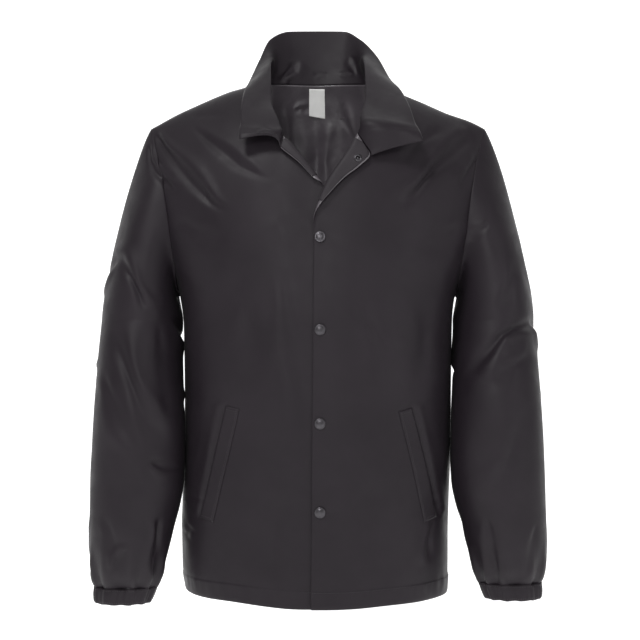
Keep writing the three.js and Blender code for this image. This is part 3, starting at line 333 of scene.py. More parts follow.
creases = [
    # the wearer's right chest and shoulder
    {"face": "front", "line": [(-232, -64), (-217, -88), (-201, -108), (-173, -141), (-146, -169), (-122, -186)],
     "width": 8, "depth": 5, "crest": 2.6, "hand": -1, "fadeIn": 0.1},
    {"face": "front", "line": [(-241, -80), (-238, -103), (-230, -121), (-212, -138), (-194, -154)],
     "width": 5, "depth": 3.4, "crest": 1.8, "hand": -1, "fadeIn": 0.1},
    {"face": "front", "line": [(-228, -100), (-216, -118), (-198, -140)], "width": 4, "depth": 1.6},
    {"face": "front", "line": [(-180, -56), (-148, -84), (-127, -101), (-107, -119), (-82, -133), (-60, -143)],
     "width": 7, "depth": 2.6, "crest": 1.4, "hand": -1},
    {"face": "front", "line": [(-186, -42), (-150, -43), (-116, -46)], "width": 4, "depth": 1.1},
    {"face": "front", "line": [(-196, -190), (-160, -214), (-120, -226)], "width": 12, "depth": 1.8},
    # the wearer's left chest
    {"face": "front", "line": [(222, -66), (206, -80), (188, -97), (164, -118), (127, -162), (110, -180)],
     "width": 9, "depth": 4.6, "crest": 2.4, "fadeIn": 0.1},
    {"face": "front", "line": [(228, -98), (210, -122), (196, -150)], "width": 5, "depth": 2, "crest": 1},
    {"face": "front", "line": [(176, -60), (142, -84), (112, -120)], "width": 8, "depth": 1.8},
    {"face": "front", "line": [(198, -196), (168, -226), (130, -240)], "width": 13, "depth": 1.8},
    # the wearer's right sleeve
    {"face": "front", "line": [(-292, -243), (-275, -248), (-260, -270), (-247, -296), (-238, -322)],
     "width": 7, "depth": 4, "crest": 2.2, "hand": -1, "fadeIn": 0.06},
    {"face": "front", "line": [(-288, -336), (-262, -400), (-233, -470), (-196, -516)],
     "width": 12, "depth": 3.4, "crest": 2.2, "hand": -1},
    {"face": "front", "line": [(-300, -400), (-278, -452), (-246, -512)],
     "width": 10, "depth": 2, "crest": 1.2},
    {"face": "front", "line": [(-232, -524), (-206, -534), (-184, -545)], "width": 6, "depth": 3, "crest": 1.6},
    {"face": "front", "line": [(-222, -330), (-212, -400), (-206, -470)], "width": 11, "depth": 2.2},
    {"face": "front", "line": [(-287, -676), (-281, -656), (-270, -644), (-255, -639)],
     "width": 6, "depth": -3, "crest": -0.8},
    {"face": "front", "line": [(-219, -600), (-222, -640), (-230, -694)], "width": 6, "depth": 4, "crest": 2},
    {"face": "front", "line": [(-292, -600), (-280, -640), (-262, -690)], "width": 9, "depth": 2},
    # the wearer's left sleeve
    {"face": "front", "line": [(240, -196), (224, -208), (208, -222)], "width": 6, "depth": 2.2, "crest": 1.4},
    {"face": "front", "line": [(312, -333), (275, -342), (254, -352), (233, -376), (212, -398), (192, -412)],
     "width": 9, "depth": 4.6, "crest": 3, "hand": -1, "fadeIn": 0.1},
    {"face": "front", "line": [(304, -378), (270, -392), (238, -424)], "width": 10, "depth": 1.8, "crest": 1.2},
    {"face": "front", "line": [(284, -240), (266, -290), (258, -330)], "width": 12, "depth": 2},
    {"face": "front", "line": [(292, -440), (262, -520), (236, -590)], "width": 14, "depth": 2.2},
    {"face": "front", "line": [(232, -600), (240, -650), (252, -692)], "width": 6, "depth": 2.6},
    {"face": "front", "line": [(300, -610), (294, -650), (286, -690)], "width": 7, "depth": 2},
    # the body's front
    {"face": "front", "line": [(-46, -262), (-40, -330), (-30, -390), (-14, -446)],
     "width": 11, "depth": 1.5, "crest": 0.9},
    {"face": "front", "line": [(-96, -300), (-90, -380), (-98, -440)], "width": 16, "depth": 1.2},
    {"face": "front", "line": [(52, -300), (86, -360), (118, -430)], "width": 13, "depth": 1.8, "crest": 1},
    {"face": "front", "line": [(150, -300), (144, -380), (132, -436)], "width": 14, "depth": 1.6},
    {"face": "front", "line": [(-176, -616), (-188, -636)], "width": 8, "depth": 2.4, "crest": 1.6},
    {"face": "front", "line": [(160, -606), (152, -634), (156, -668)], "width": 6, "depth": 2.6, "crest": 1.4},
    {"face": "front", "line": [(150, -579), (158, -577), (168, -578)], "width": 3.5, "depth": 1.6},
    {"face": "front", "line": [(156, -592), (166, -590), (174, -592)], "width": 3.5, "depth": 1.4},
    {"face": "front", "line": [(-150, -576), (-164, -578), (-176, -574)], "width": 4, "depth": 1.4},
    {"face": "front", "line": [(-60, -560), (-56, -620), (-64, -684)], "width": 14, "depth": 1.4},
    {"face": "front", "line": [(72, -540), (66, -610), (74, -680)], "width": 15, "depth": 1.5},
    # the back
    {"face": "back", "line": [(-230, -74), (-206, -104), (-170, -144), (-120, -190)],
     "width": 10, "depth": 4.2, "crest": 2, "hand": 1},
    {"face": "back", "line": [(232, -72), (208, -100), (168, -150), (112, -205)],
     "width": 10, "depth": 4.4, "crest": 2.2, "hand": -1},
    {"face": "back", "line": [(-214, -140), (-188, -190), (-150, -230)],
     "width": 9, "depth": 2.6, "crest": 1.4},
    {"face": "back", "line": [(218, -150), (186, -196), (150, -236)],
     "width": 8, "depth": 2.4, "crest": 1.4, "hand": -1},
    {"face": "back", "line": [(-120, 0), (-60, -26), (0, -30), (64, -24), (118, 0)], "width": 7, "depth": 1.6},
    {"face": "back", "line": [(-84, -120), (-70, -230), (-80, -330)], "width": 16, "depth": 1.8, "crest": 1},
    {"face": "back", "line": [(78, -140), (64, -250), (72, -360)], "width": 16, "depth": 1.6, "crest": 1},
    {"face": "back", "line": [(-150, -380), (-80, -420), (0, -432), (90, -414)],
     "width": 14, "depth": 2.2, "crest": 1.4},
    {"face": "back", "line": [(-70, -560), (-20, -536), (36, -520)], "width": 13, "depth": 2.4, "crest": 1.6},
    {"face": "back", "line": [(150, -470), (90, -510), (30, -560)], "width": 13, "depth": 2, "crest": 1.4},
    {"face": "back", "line": [(-290, -356), (-256, -380), (-206, -432)],
     "width": 9, "depth": 4.4, "crest": 2.6},
    {"face": "back", "line": [(292, -348), (256, -372), (202, -418)],
     "width": 9, "depth": 4.2, "crest": 2.6, "hand": -1},
    {"face": "back", "line": [(-282, -240), (-262, -300), (-256, -350)], "width": 10, "depth": 2.4},
    {"face": "back", "line": [(284, -236), (260, -296), (256, -346)], "width": 10, "depth": 2.4},
    {"face": "back", "line": [(-286, -460), (-250, -520), (-224, -600)],
     "width": 11, "depth": 2.6, "crest": 1.8},
    {"face": "back", "line": [(290, -450), (256, -510), (226, -590)], "width": 11, "depth": 2.4, "crest": 1.6},
    {"face": "back", "line": [(-236, -610), (-240, -660), (-256, -694)], "width": 6, "depth": 2.6},
    {"face": "back", "line": [(240, -606), (246, -656), (262, -694)], "width": 6, "depth": 2.6},
    # the sleeves' outer sides
    {"face": "left", "line": [(-44, -330), (-10, -352), (30, -360)], "width": 9, "depth": 3.4, "crest": 2.2},
    {"face": "left", "line": [(36, -410), (0, -440), (-46, -452)], "width": 9, "depth": 2.4, "crest": 1.8},
    {"face": "left", "line": [(10, -200), (-6, -270), (4, -320)], "width": 12, "depth": 2},
    {"face": "left", "line": [(-30, -560), (-34, -630), (-30, -690)], "width": 8, "depth": 2.4},
    {"face": "right", "line": [(-46, -250), (-16, -262), (20, -300)], "width": 8, "depth": 3, "crest": 2},
    {"face": "right", "line": [(38, -370), (0, -396), (-44, -410)], "width": 9, "depth": 3, "crest": 2},
    {"face": "right", "line": [(-6, -470), (-20, -540), (-26, -620)], "width": 11, "depth": 2.2},
    {"face": "right", "line": [(-50, -600), (-42, -650), (-48, -692)], "width": 7, "depth": 2.2},
]

# slanted pocket mouths: both ends of the free edge
pockets = [{"name": "pocket_welt_left", "side": 1, "top": (127, -450), "bottom": (166, -603)},
           {"name": "pocket_welt_right", "side": -1, "top": (124, -447), "bottom": (159, -603)}]
welt = {"width": 19, "base": 1.05, "cloth": 1.0}
snaps = {"x": 3, "heights": [-219, -344, -470, -589], "radius": 7.5}


# the slow, uneven waves of thin cloth that hangs: a few crossing sines, longer down than across
def hangingWaves(points, normals):
    x, y, z = points[..., 0], points[..., 1], points[..., 2]
    girth = x + 0.8 * y
    waves = 0.50 * np.sin(girth / 17 + 1.4 * np.sin(z / 90) + 0.6) + 0.35 * np.sin(girth / 29 - z / 120 + 2.1)
    waves += 0.28 * np.sin(x / 11 + z / 46 + 1.1 * np.sin(z / 70 + 1)) + 0.2 * np.sin(z / 23 + 0.7 * np.sin(x / 31))
    # calm where the body lies beside the sleeves
    beside = smooth(np.abs(x), 168, 186) * smooth(-z, 300, 340) * (1 - smooth(-z, 600, 680))
    return waves * smooth(-z, 20, 120) * (1 - 0.85 * beside)


# pocket mouth: a narrow trough beside the welt's free edge; each snap pulls its own shallow dimple
def frontDetails(points, side):
    height = np.zeros(points.shape[:-1])
    x, z = points[..., 0] * side, points[..., 2]
    for pocket in pockets:
        if pocket["side"] == side:
            (x1, z1), (x2, z2) = pocket["top"], pocket["bottom"]
            length = math.hypot(x2 - x1, z2 - z1)
            t = ((x - x1) * (x2 - x1) + (z - z1) * (z2 - z1)) / length ** 2
            off = ((x - x1) * (z1 - z2) + (z - z1) * (x2 - x1)) / length
            within = smooth(t, -0.03, 0.03) * (1 - smooth(t, 0.97, 1.03))
            height -= 2.6 * within * np.exp(-((off - 2.2) / 2.6) ** 2)
            height += 1.5 * within * np.exp(-((off - 10) / 6) ** 2)
    if side > 0:
        for level in snaps["heights"]:
            away = np.hypot(x - snaps["x"], z - level)
            height += -0.9 * np.exp(-(away / 10) ** 2)
            tug = np.exp(-((z - level) / 5) ** 2) * np.exp(-(np.maximum(x - snaps["x"], 0) / 30) ** 2)
            height -= 0.7 * tug
    return height


# hem casing: stands out below its stitch line, and puckers between the stitches
def hemOffset(rows, grid, clear=None):
    low = 1 - smooth(np.asarray(rows)[:, None], 1.0, 1.5)
    x, y = grid[..., 0], grid[..., 1]
    run = np.arctan2(y, x) * 170
    pucker = 0.35 * np.sin(run / 2.3 + 2 * np.sin(run / 19)) + 0.3 * np.sin(run / 4.1 + 1.2)
    near = np.exp(-((grid[..., 2] + 697) / 9) ** 2)
    raised = body["hemRaise"] * low * (1 if clear is None else clear)
    return raised, pucker * near * (1 if clear is None else clear)


# Meshes
def newObject(name, vertices, faces, materials, faceMaterials=None, uvs=None):
    mesh = bpy.data.meshes.new(name)
    mesh.from_pydata((vertices * metre).tolist(), [], faces)
    for material in materials:
        mesh.materials.append(material)
    mesh.polygons.foreach_set("use_smooth", np.ones(len(mesh.polygons), bool))
    if faceMaterials is not None:
        mesh.polygons.foreach_set("material_index", faceMaterials)
    if uvs is not None:
        layer = mesh.uv_layers.new(name="cut")
        layer.data.foreach_set("uv", uvs.astype(np.float32).ravel())
    mesh.update()
    made = bpy.data.objects.new(name, mesh)
    bpy.context.scene.collection.objects.link(made)
    return made


# Closed wall about a grid: the grid moved out and in along its normals, and a rim round its open edges.
# The cut's own lengths in metres go into the UV map.
def makeShell(name, grid, normals, outer, inner, materials, closed=False):
    rows, columns = grid.shape[:2]
    outside = grid + normals * np.broadcast_to(outer, grid.shape[:2])[..., None]
    inside = grid + normals * np.broadcast_to(inner, grid.shape[:2])[..., None]
    ring = np.concatenate([grid, grid[:, :1]], 1) if closed else grid
    across, down = runAlong(ring, 1), runAlong(ring, 0)
    r, c = np.meshgrid(np.arange(rows - 1), np.arange(ring.shape[1] - 1), indexing="ij")
    r, c = r.ravel(), c.ravel()
    corners = [(r, c), (r, c + 1), (r + 1, c + 1), (r + 1, c)]
    quads = np.stack([a * columns + b % columns for a, b in corners], 1)
    uv = np.stack([np.stack([across[a, b], down[a, b]], -1) for a, b in corners], 1) * metre
    middle = len(quads) // 2
    p = outside.reshape(-1, 3)[quads[middle]]
    n = normals.reshape(-1, 3)[quads[middle, 0]]
    flip = np.dot(np.cross(p[1] - p[0], p[3] - p[0]), n) < 0
    if flip:
        quads, uv = quads[:, ::-1], uv[:, ::-1]
    count = rows * columns
    last = rows - 1
    top = np.arange(ring.shape[1] - 1)
    beside = (top + 1) % columns
    edges = [np.stack([top, beside], 1), np.stack([last * columns + beside, last * columns + top], 1)]
    if not closed:
        side = np.arange(rows - 1)
        edges.append(np.stack([(side + 1) * columns, side * columns], 1))
        edges.append(np.stack([side * columns + columns - 1, (side + 1) * columns + columns - 1], 1))
    edges = np.concatenate(edges)
    if flip:
        edges = edges[:, ::-1]
    rim = np.stack([edges[:, 1], edges[:, 0], edges[:, 0] + count, edges[:, 1] + count], 1)
    faces = np.concatenate([quads, quads[:, ::-1] + count, rim])
    uvs = np.concatenate([uv, uv[:, ::-1], np.zeros((len(rim), 4, 2))])
    index = np.concatenate([np.zeros(len(quads)), np.ones(len(quads)), np.zeros(len(rim))]).astype(np.int32)
    vertices = np.concatenate([outside.reshape(-1, 3), inside.reshape(-1, 3)])
    return newObject(name, vertices, faces.tolist(), materials, index, uvs)


# how far a wall's offset has grown at a distance from the grid's open edges: a quarter circle
def edgeRound(grid, radius, closed=False, sides=(1, 1, 1, 1)):
    down, across = runAlong(grid, 0), runAlong(grid, 1)
    away = [down if sides[0] else None, down[-1:] - down if sides[1] else None]
    if not closed:
        away += [across if sides[2] else None, across[:, -1:] - across if sides[3] else None]
    near = np.min([a for a in away if a is not None], axis=0)
    t = 1 - np.clip(near / radius, 0, 1)
    return np.sqrt(1 - 0.92 * t * t)


# Materials
def toLinear(code):
    values = [int(code[k:k + 2], 16) / 255 for k in (1, 3, 5)]
    return tuple(v / 12.92 if v <= 0.04045 else ((v + 0.055) / 1.055) ** 2.4 for v in values) + (1.0,)


def addNode(tree, kind, settings=None, values=None, links=None):
    node = tree.nodes.new(kind)
    for name, value in (settings or {}).items():
        setattr(node, name, value)
    for name, value in (values or {}).items():
        node.inputs[name].default_value = value
    for name, (source, output) in (links or {}).items():
        tree.links.new(source.outputs[output], node.inputs[name])
    return node


def newMaterial(name):
    material = bpy.data.materials.new(name)
    material.use_nodes = True
    tree = material.node_tree
    tree.nodes.clear()
    output = addNode(tree, "ShaderNodeOutputMaterial")
    return material, tree, output


# Woven cloth: dark and light yarn tones, threads one over one along the cut, crumples on top
def wovenCloth(name, look):
    material, tree, output = newMaterial(name)
    coords = addNode(tree, "ShaderNodeTexCoord")
    broad = addNode(tree, "ShaderNodeTexNoise", None, {"Scale": 1 / look["patch"], "Detail": 3.0, "Roughness": 0.55},
                    {"Vector": (coords, "Object")})
    toneMap = addNode(tree, "ShaderNodeMapRange", None, {"From Min": 0.3, "From Max": 0.7}, {"Value": (broad, "Fac")})
    # bands run sin(20 scale x), so a period of one thread pair asks for 0.314 / pair
    pair = look["thread"] * 2
    warp = addNode(tree, "ShaderNodeTexWave", {"bands_direction": "X"}, {"Scale": 0.31416 / pair},
                   {"Vector": (coords, "UV")})
    weft = addNode(tree, "ShaderNodeTexWave", {"bands_direction": "Y"}, {"Scale": 0.31416 / pair},
                   {"Vector": (coords, "UV")})
    weave = addNode(tree, "ShaderNodeMath", {"operation": "MULTIPLY"})
    tree.links.new(warp.outputs["Fac"], weave.inputs[0])
    tree.links.new(weft.outputs["Fac"], weave.inputs[1])
    tone = addNode(tree, "ShaderNodeMix", {"data_type": "RGBA"})
    tone.inputs["A"].default_value = toLinear(look["dark"])
    tone.inputs["B"].default_value = toLinear(look["light"])
    tree.links.new(toneMap.outputs["Result"], tone.inputs["Factor"])
    threads = addNode(tree, "ShaderNodeMix", {"data_type": "RGBA", "blend_type": "MULTIPLY"})
    weaveTone = addNode(tree, "ShaderNodeMapRange", None,
                        {"To Min": 1 - look["threadTone"], "To Max": 1.0 + look["threadTone"]},
                        {"Value": (weave, "Value")})
    threads.inputs["Factor"].default_value = 1.0
    tree.links.new(tone.outputs["Result"], threads.inputs["A"])
    tree.links.new(weaveTone.outputs["Result"], threads.inputs["B"])
    crumple = addNode(tree, "ShaderNodeTexNoise", None,
                      {"Scale": 1 / look["crumple"], "Detail": 4.0, "Roughness": 0.5, "Distortion": look["twist"]},
                      {"Vector": (coords, "Object")})
    small = addNode(tree, "ShaderNodeBump", None, {"Strength": look["threadBump"], "Distance": 0.0003},
                    {"Height": (weave, "Value")})
    bump = addNode(tree, "ShaderNodeBump", None, {"Strength": look["crumpleBump"], "Distance": look["crumpleHeight"]},
                   {"Height": (crumple, "Fac"), "Normal": (small, "Normal")})
    gloss = addNode(tree, "ShaderNodeMapRange", None,
                    {"From Min": 0.3, "From Max": 0.7, "To Min": look["roughness"] - look["roughSpread"],
                     "To Max": look["roughness"] + look["roughSpread"]}, {"Value": (crumple, "Fac")})
    shader = addNode(tree, "ShaderNodeBsdfPrincipled", None,
                     {"IOR": look["ior"], "Specular IOR Level": look["specular"], "Sheen Weight": look["sheen"],
                      "Sheen Roughness": 0.4, "Sheen Tint": toLinear(look["sheenTint"])},
                     {"Base Color": (threads, "Result"), "Roughness": (gloss, "Result"), "Normal": (bump, "Normal")})
    tree.links.new(shader.outputs["BSDF"], output.inputs["Surface"])
    return material


# plain-weave nylon taffeta, calendered and coated: near matt from the front, a soft grey sheen at its edges
shellNylon = wovenCloth("shell_nylon_taffeta", {
    "dark": "#1b161b", "light": "#211c21", "patch": 0.09, "thread": 0.0007, "threadTone": 0.05, "threadBump": 0.12,
    "crumple": 0.022, "twist": 0.4, "crumpleBump": 0.16, "crumpleHeight": 0.0016,
    "roughness": 0.5, "roughSpread": 0.06, "ior": 1.5, "specular": 0.2, "sheen": 0.03, "sheenTint": "#9aa09a"})
# the same nylon's uncoated inner side, a little paler and drier
facingNylon = wovenCloth("facing_nylon_inner_side", {
    "dark": "#242024", "light": "#2b272b", "patch": 0.05, "thread": 0.0007, "threadTone": 0.06, "threadBump": 0.12,
    "crumple": 0.016, "twist": 0.3, "crumpleBump": 0.14, "crumpleHeight": 0.0012,
    "roughness": 0.58, "roughSpread": 0.05, "ior": 1.5, "specular": 0.22, "sheen": 0.03, "sheenTint": "#a0a0a0"})
# black polyester lining, crumpled and glossy, with broken bright streaks: its yarn tones are painted a mid grey, far
# paler than the near-black cloth, as painted light standing in for the light that reaches the shaded inside
liningPaintedLight = wovenCloth("lining_taffeta_painted_light", {
    "dark": "#443f44", "light": "#524d52", "patch": 0.04, "thread": 0.0006, "threadTone": 0.04, "threadBump": 0.06,
    "crumple": 0.034, "twist": 0.5, "crumpleBump": 0.3, "crumpleHeight": 0.004,
    "roughness": 0.34, "roughSpread": 0.06, "ior": 1.5, "specular": 0.7, "sheen": 0.0, "sheenTint": "#808080"})
# white satin label tape, woven edge to edge and left blank
labelTape = wovenCloth("label_satin_tape", {
    "dark": "#f4f4f2", "light": "#fcfcfa", "patch": 0.02, "thread": 0.0005, "threadTone": 0.03, "threadBump": 0.1,
    "crumple": 0.012, "twist": 0.1, "crumpleBump": 0.1, "crumpleHeight": 0.0006,
    "roughness": 0.5, "roughSpread": 0.04, "ior": 1.5, "specular": 0.4, "sheen": 0.1, "sheenTint": "#ffffff"})

# brass snap plated in dark gunmetal, tumbled to a satin: cloudy grey with fine scuffs
def platedMetal(name, dark, light):
    material, tree, output = newMaterial(name)
    coords = addNode(tree, "ShaderNodeTexCoord")
    cloud = addNode(tree, "ShaderNodeTexNoise", None, {"Scale": 1 / 0.004, "Detail": 4.0},
                    {"Vector": (coords, "Object")})
    scuff = addNode(tree, "ShaderNodeTexNoise", None, {"Scale": 1 / 0.0006, "Detail": 2.0},
                    {"Vector": (coords, "Object")})
    tone = addNode(tree, "ShaderNodeMix", {"data_type": "RGBA"})
    tone.inputs["A"].default_value = toLinear(dark)
    tone.inputs["B"].default_value = toLinear(light)
    tree.links.new(cloud.outputs["Fac"], tone.inputs["Factor"])
    gloss = addNode(tree, "ShaderNodeMapRange", None, {"To Min": 0.26, "To Max": 0.42}, {"Value": (scuff, "Fac")})
    bump = addNode(tree, "ShaderNodeBump", None, {"Strength": 0.05, "Distance": 0.0001}, {"Height": (scuff, "Fac")})
    shader = addNode(tree, "ShaderNodeBsdfPrincipled", None, {"Metallic": 1.0},
                     {"Base Color": (tone, "Result"), "Roughness": (gloss, "Result"), "Normal": (bump, "Normal")})
    tree.links.new(shader.outputs["BSDF"], output.inputs["Surface"])
    return material


gunmetal = platedMetal("snap_gunmetal_plate", "#3e3c3e", "#545256")
# polyester sewing thread, matched to the cloth but a shade lighter and duller
thread = wovenCloth("sewing_thread_polyester", {
    "dark": "#272328", "light": "#302b31", "patch": 0.01, "thread": 0.0003, "threadTone": 0.1, "threadBump": 0.1,
    "crumple": 0.004, "twist": 0.0, "crumpleBump": 0.1, "crumpleHeight": 0.0002,
    "roughness": 0.6, "roughSpread": 0.05, "ior": 1.5, "specular": 0.4, "sheen": 0.2, "sheenTint": "#a0a0a0"})
print("materials made")

# Panels
spacing = {"rows": 2.9, "panel": 7}
bodyRows = rowSteps(0, body["top"], spacing["rows"])
armpitRow = int(np.searchsorted(bodyRows, body["armpit"]))
frontColumns = np.concatenate([
    [0, 0.06], np.linspace(0.15, 1, 9), np.linspace(1.2, 4, 15), np.linspace(4.25, 5, 4),
    np.linspace(5, 14, 9 * spacing["panel"] + 1)[1:-1], [13.95, 14]])
backShares = np.concatenate([[0, 0.003], np.linspace(0, 1, 150)[1:-1], [0.997, 1]])
left = frontGrid(leftEdge, 1, bodyRows, frontColumns)
right = frontGrid(rightEdge, -1, bodyRows, frontColumns)
back = backGrid(bodyRows, backShares)


def fromAxis(grid):
    return grid * np.array([1.0, 1.0, 0.0])


# Sleeves. The ring runs from the shoulder down the front edge to the armpit and up the back edge.
sleeve = {"capSteps": 64, "gathers": 11, "gatherDepth": 2.6}


def ringOf(front, rear):
    return np.concatenate([front[armpitRow:][::-1], rear[armpitRow + 1:-1]])


# angle round the arm by length along the armhole, half a turn for each half
def ringAngles(ring):
    half = len(ring) // 2
    lengths = np.linalg.norm(np.roll(ring, -1, 0) - ring, axis=1)
    run = np.concatenate([[0], np.cumsum(lengths)])
    angles = np.empty(len(ring))
    angles[:half] = math.pi * run[:half] / run[half]
    angles[half:] = math.pi * (1 + (run[half:-1] - run[half]) / (run[-1] - run[half]))
    return angles


# level ellipse of the sleeve at a height
def armRing(z, side, angles):
    inner, outer, middle, half = (column(sleeveTable, z, k)[:, None] for k in (1, 2, 3, 4))
    x = (inner + outer) / 2 + (outer - inner) / 2 * np.cos(angles)
    lifted = (z + (hang["leftArm"] if side > 0 else 0) * smooth(-z, 560, 700))[:, None]
    return np.stack([side * x, middle - half * np.sin(angles), np.broadcast_to(lifted, x.shape)], -1)


# sleeve cap: one cubic from each armhole point, leaving outwards, to the first level ring, arriving downwards
def capGrid(ring, below, angles, side, t):
    under = ((1 - np.cos(angles)) / 2)[:, None]
    span = np.linalg.norm(ring - below, axis=1)[:, None]
    forward = -0.3 * np.sin(angles)[:, None]
    leave = unit(np.concatenate([np.full_like(under, side), forward, mix(-1.33, 0.5, under)], 1))
    arrive = unit(np.concatenate([0.05 * side * (1 - under), 0 * under, -1 + 0 * under], 1))
    pull = span * (0.35 + 0.35 * np.abs(np.sin(angles)))[:, None]
    leave, arrive = leave * mix(pull, 34, under ** 4), arrive * span * mix(0.7, 1.05, under)
    t = t[:, None, None]
    return ((2 * t ** 3 - 3 * t ** 2 + 1) * ring + (t ** 3 - 2 * t ** 2 + t) * leave
            + (3 * t ** 2 - 2 * t ** 3) * below + (t ** 3 - t ** 2) * arrive)


def sleeveGrids(front, rear, side):
    ring = ringOf(front, rear)
    angles = ringAngles(ring)
    below = armRing(np.array([-331.0]), side, angles)[0]
    cap = capGrid(ring, below, angles, side, np.linspace(0, 1, sleeve["capSteps"]) ** 1.15)
    heights = -331 - np.arange(1, 121) * (374 / 120)
    tube = armRing(heights, side, angles)
    grow = smooth(-heights, 628, 702)[:, None]
    outward = unit(tube - np.mean(tube, axis=1, keepdims=True))
    shift = 0.5 if side > 0 else 0.0
    wave = np.cos(sleeve["gathers"] * angles + 1.1 * np.sin(2 * angles) + 0.7 * np.sin(3 * angles))
    fine = 0.35 * np.cos(19 * angles + shift + 1.5 * np.sin(angles)) * smooth(-heights, 670, 704)[:, None]
    sharp = wave + 0.3 * (np.abs(wave) - 0.6)
    tube = tube + outward * (sleeve["gatherDepth"] * grow * sharp + fine)[..., None]
    return np.concatenate([cap, tube])


leftSleeve = sleeveGrids(left[:, -1], back[:, -1], 1)
rightSleeve = sleeveGrids(right[:, -1], back[:, 0], -1)


def armAxis(grid):
    middle = (column(sleeveTable, grid[..., 2], 1) + column(sleeveTable, grid[..., 2], 2)) / 2
    axis = np.stack([np.sign(grid[..., 0]) * middle, column(sleeveTable, grid[..., 2], 3), grid[..., 2]], -1)
    return grid - axis


leftNormals = gridNormals(left, outward=fromAxis(left))
rightNormals = gridNormals(right, outward=fromAxis(right))
backNormals = gridNormals(back, outward=fromAxis(back))
leftSleeveNormals = gridNormals(leftSleeve, True, armAxis(leftSleeve))
rightSleeveNormals = gridNormals(rightSleeve, True, armAxis(rightSleeve))


# normals turn, over some millimetres, to the ones that both sides of a seam share
def turnTo(normals, distance, shared, reach=24):
    near = np.exp(-(distance / reach) ** 2)[..., None]
    return unit(normals * (1 - near) + shared * near)


def seamNormals(frontNormals, sleeveNormals, rearEdge):
    half = len(bodyRows) - armpitRow
    ring = sleeveNormals[0]
    frontRing = ring[:half][::-1]
    rearRing = np.concatenate([ring[half - 1:half], ring[half:], ring[:1]])
    front = frontNormals[:, -1] + rearEdge
    front[armpitRow:] = frontNormals[armpitRow:, -1] + frontRing
    rear = frontNormals[:, -1] + rearEdge
    rear[armpitRow:] = rearEdge[armpitRow:] + rearRing
    return unit(front), unit(rear)


leftShared, backLeftShared = seamNormals(leftNormals, leftSleeveNormals, backNormals[:, -1])
rightShared, backRightShared = seamNormals(rightNormals, rightSleeveNormals, backNormals[:, 0])


# the shoulder seam's normal stands square to its line
def shoulderNormal(grid):
    x = grid[-1, :, 0]
    slope = (shoulderZ(x + 1, 3) - shoulderZ(x - 1, 3)) / 2
    return unit(np.stack([-slope, 0 * x, 1 + 0 * x], -1))


def prepare(grid, normals, edges, arm=False):
    if arm:
        return turnTo(normals, runAlong(grid, 0), edges[0][None])
    across = runAlong(grid, 1)
    normals = turnTo(normals, across[:, -1:] - across, edges[1][:, None])
    if edges[0] is not None:
        normals = turnTo(normals, across, edges[0][:, None])
    down = runAlong(grid, 0)
    wide = (np.abs(grid[..., 0]) > 88).astype(float)
    return turnTo(normals, (down[-1:] - down) + 1000 * (1 - wide), shoulderNormal(grid)[None], 16)


leftNormals = prepare(left, leftNormals, (None, leftShared))
rightNormals = prepare(right, rightNormals, (None, rightShared))
backNormals = prepare(back, backNormals, (backRightShared, backLeftShared))
leftRing = np.concatenate([leftShared[armpitRow:][::-1], backLeftShared[armpitRow + 1:-1]])
rightRing = np.concatenate([rightShared[armpitRow:][::-1], backRightShared[armpitRow + 1:-1]])
leftSleeveNormals = prepare(leftSleeve, leftSleeveNormals, (leftRing,), True)
rightSleeveNormals = prepare(rightSleeve, rightSleeveNormals, (rightRing,), True)

bodyCreases = [c for c in creases if c["face"] in ("front", "back")]


def crease(grid, normals, extra=0.0, calm=1.0, own=None):
    chosen = bodyCreases if own is None else own
    height = creaseHeight(grid, normals, chosen) + hangingWaves(grid, normals) * calm + extra
    return grid + normals * height[..., None]


# the lapped edges and the turned strips lie flat on each other, so the waves die out there
def stripCalm(grid):
    return smooth(np.abs(grid[..., 0]), 14, 60)


def turnedOff(columns):
    return smooth(columns, 2.2, 5.5)[None, :]


leftHeight = frontDetails(left, 1) * turnedOff(frontColumns)
rightHeight = frontDetails(right, -1) * turnedOff(frontColumns)
leftRaise, leftPucker = hemOffset(bodyRows, left)
lapClear = smooth(-right[..., 0], 6, 26)
rightRaise, rightPucker = hemOffset(bodyRows, right, lapClear)
backRaise, backPucker = hemOffset(bodyRows, back)
leftFolded = crease(left, leftNormals, leftHeight + leftPucker, stripCalm(left) * turnedOff(frontColumns))
rightFolded = crease(right, rightNormals, rightHeight + rightPucker, stripCalm(right) * turnedOff(frontColumns))
backFolded = crease(back, backNormals, backPucker)
leftArmFolded = crease(leftSleeve, leftSleeveNormals, own=creases)
rightArmFolded = crease(rightSleeve, rightSleeveNormals, own=creases)
print("panels folded")


def addSheet(name, grid, cloth, materials, raised=0.0,
             closed=False, sides=(1, 1, 1, 1), outwardFrom=None, rounding=2.4):
    normals = gridNormals(grid, closed, outwardFrom)
    rounded = edgeRound(grid, rounding, closed, sides)
    made = makeShell(name + "_cloth", grid, normals, cloth / 2 * rounded + raised, -cloth / 2 * rounded,
                     materials, closed)
    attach(made, "root")
    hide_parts(name)
    return normals


# the panels' inner faces take the lining, whose pale grey is painted light
shellLined = [shellNylon, liningPaintedLight]
leftOut = addSheet("front_left", leftFolded, body["cloth"], shellLined,
                   raised=leftRaise, outwardFrom=fromAxis(left))
rightOut = addSheet("front_right", rightFolded, body["cloth"], shellLined,
                    raised=rightRaise, outwardFrom=fromAxis(right))
backOut = addSheet("back", backFolded, body["cloth"], shellLined,
                   raised=backRaise, outwardFrom=fromAxis(back))
addSheet("sleeve_left", leftArmFolded, body["cloth"], shellLined,
         closed=True, outwardFrom=armAxis(leftSleeve))
addSheet("sleeve_right", rightArmFolded, body["cloth"], shellLined,
         closed=True, outwardFrom=armAxis(rightSleeve))
print("panels made")

# Cuffs: elastic bands, gathered evenly, each side of the casing puffed between its two stitch lines
cuff = {"top": -705, "bottom": -728, "cloth": 2.4, "rows": 15, "columns": 264}


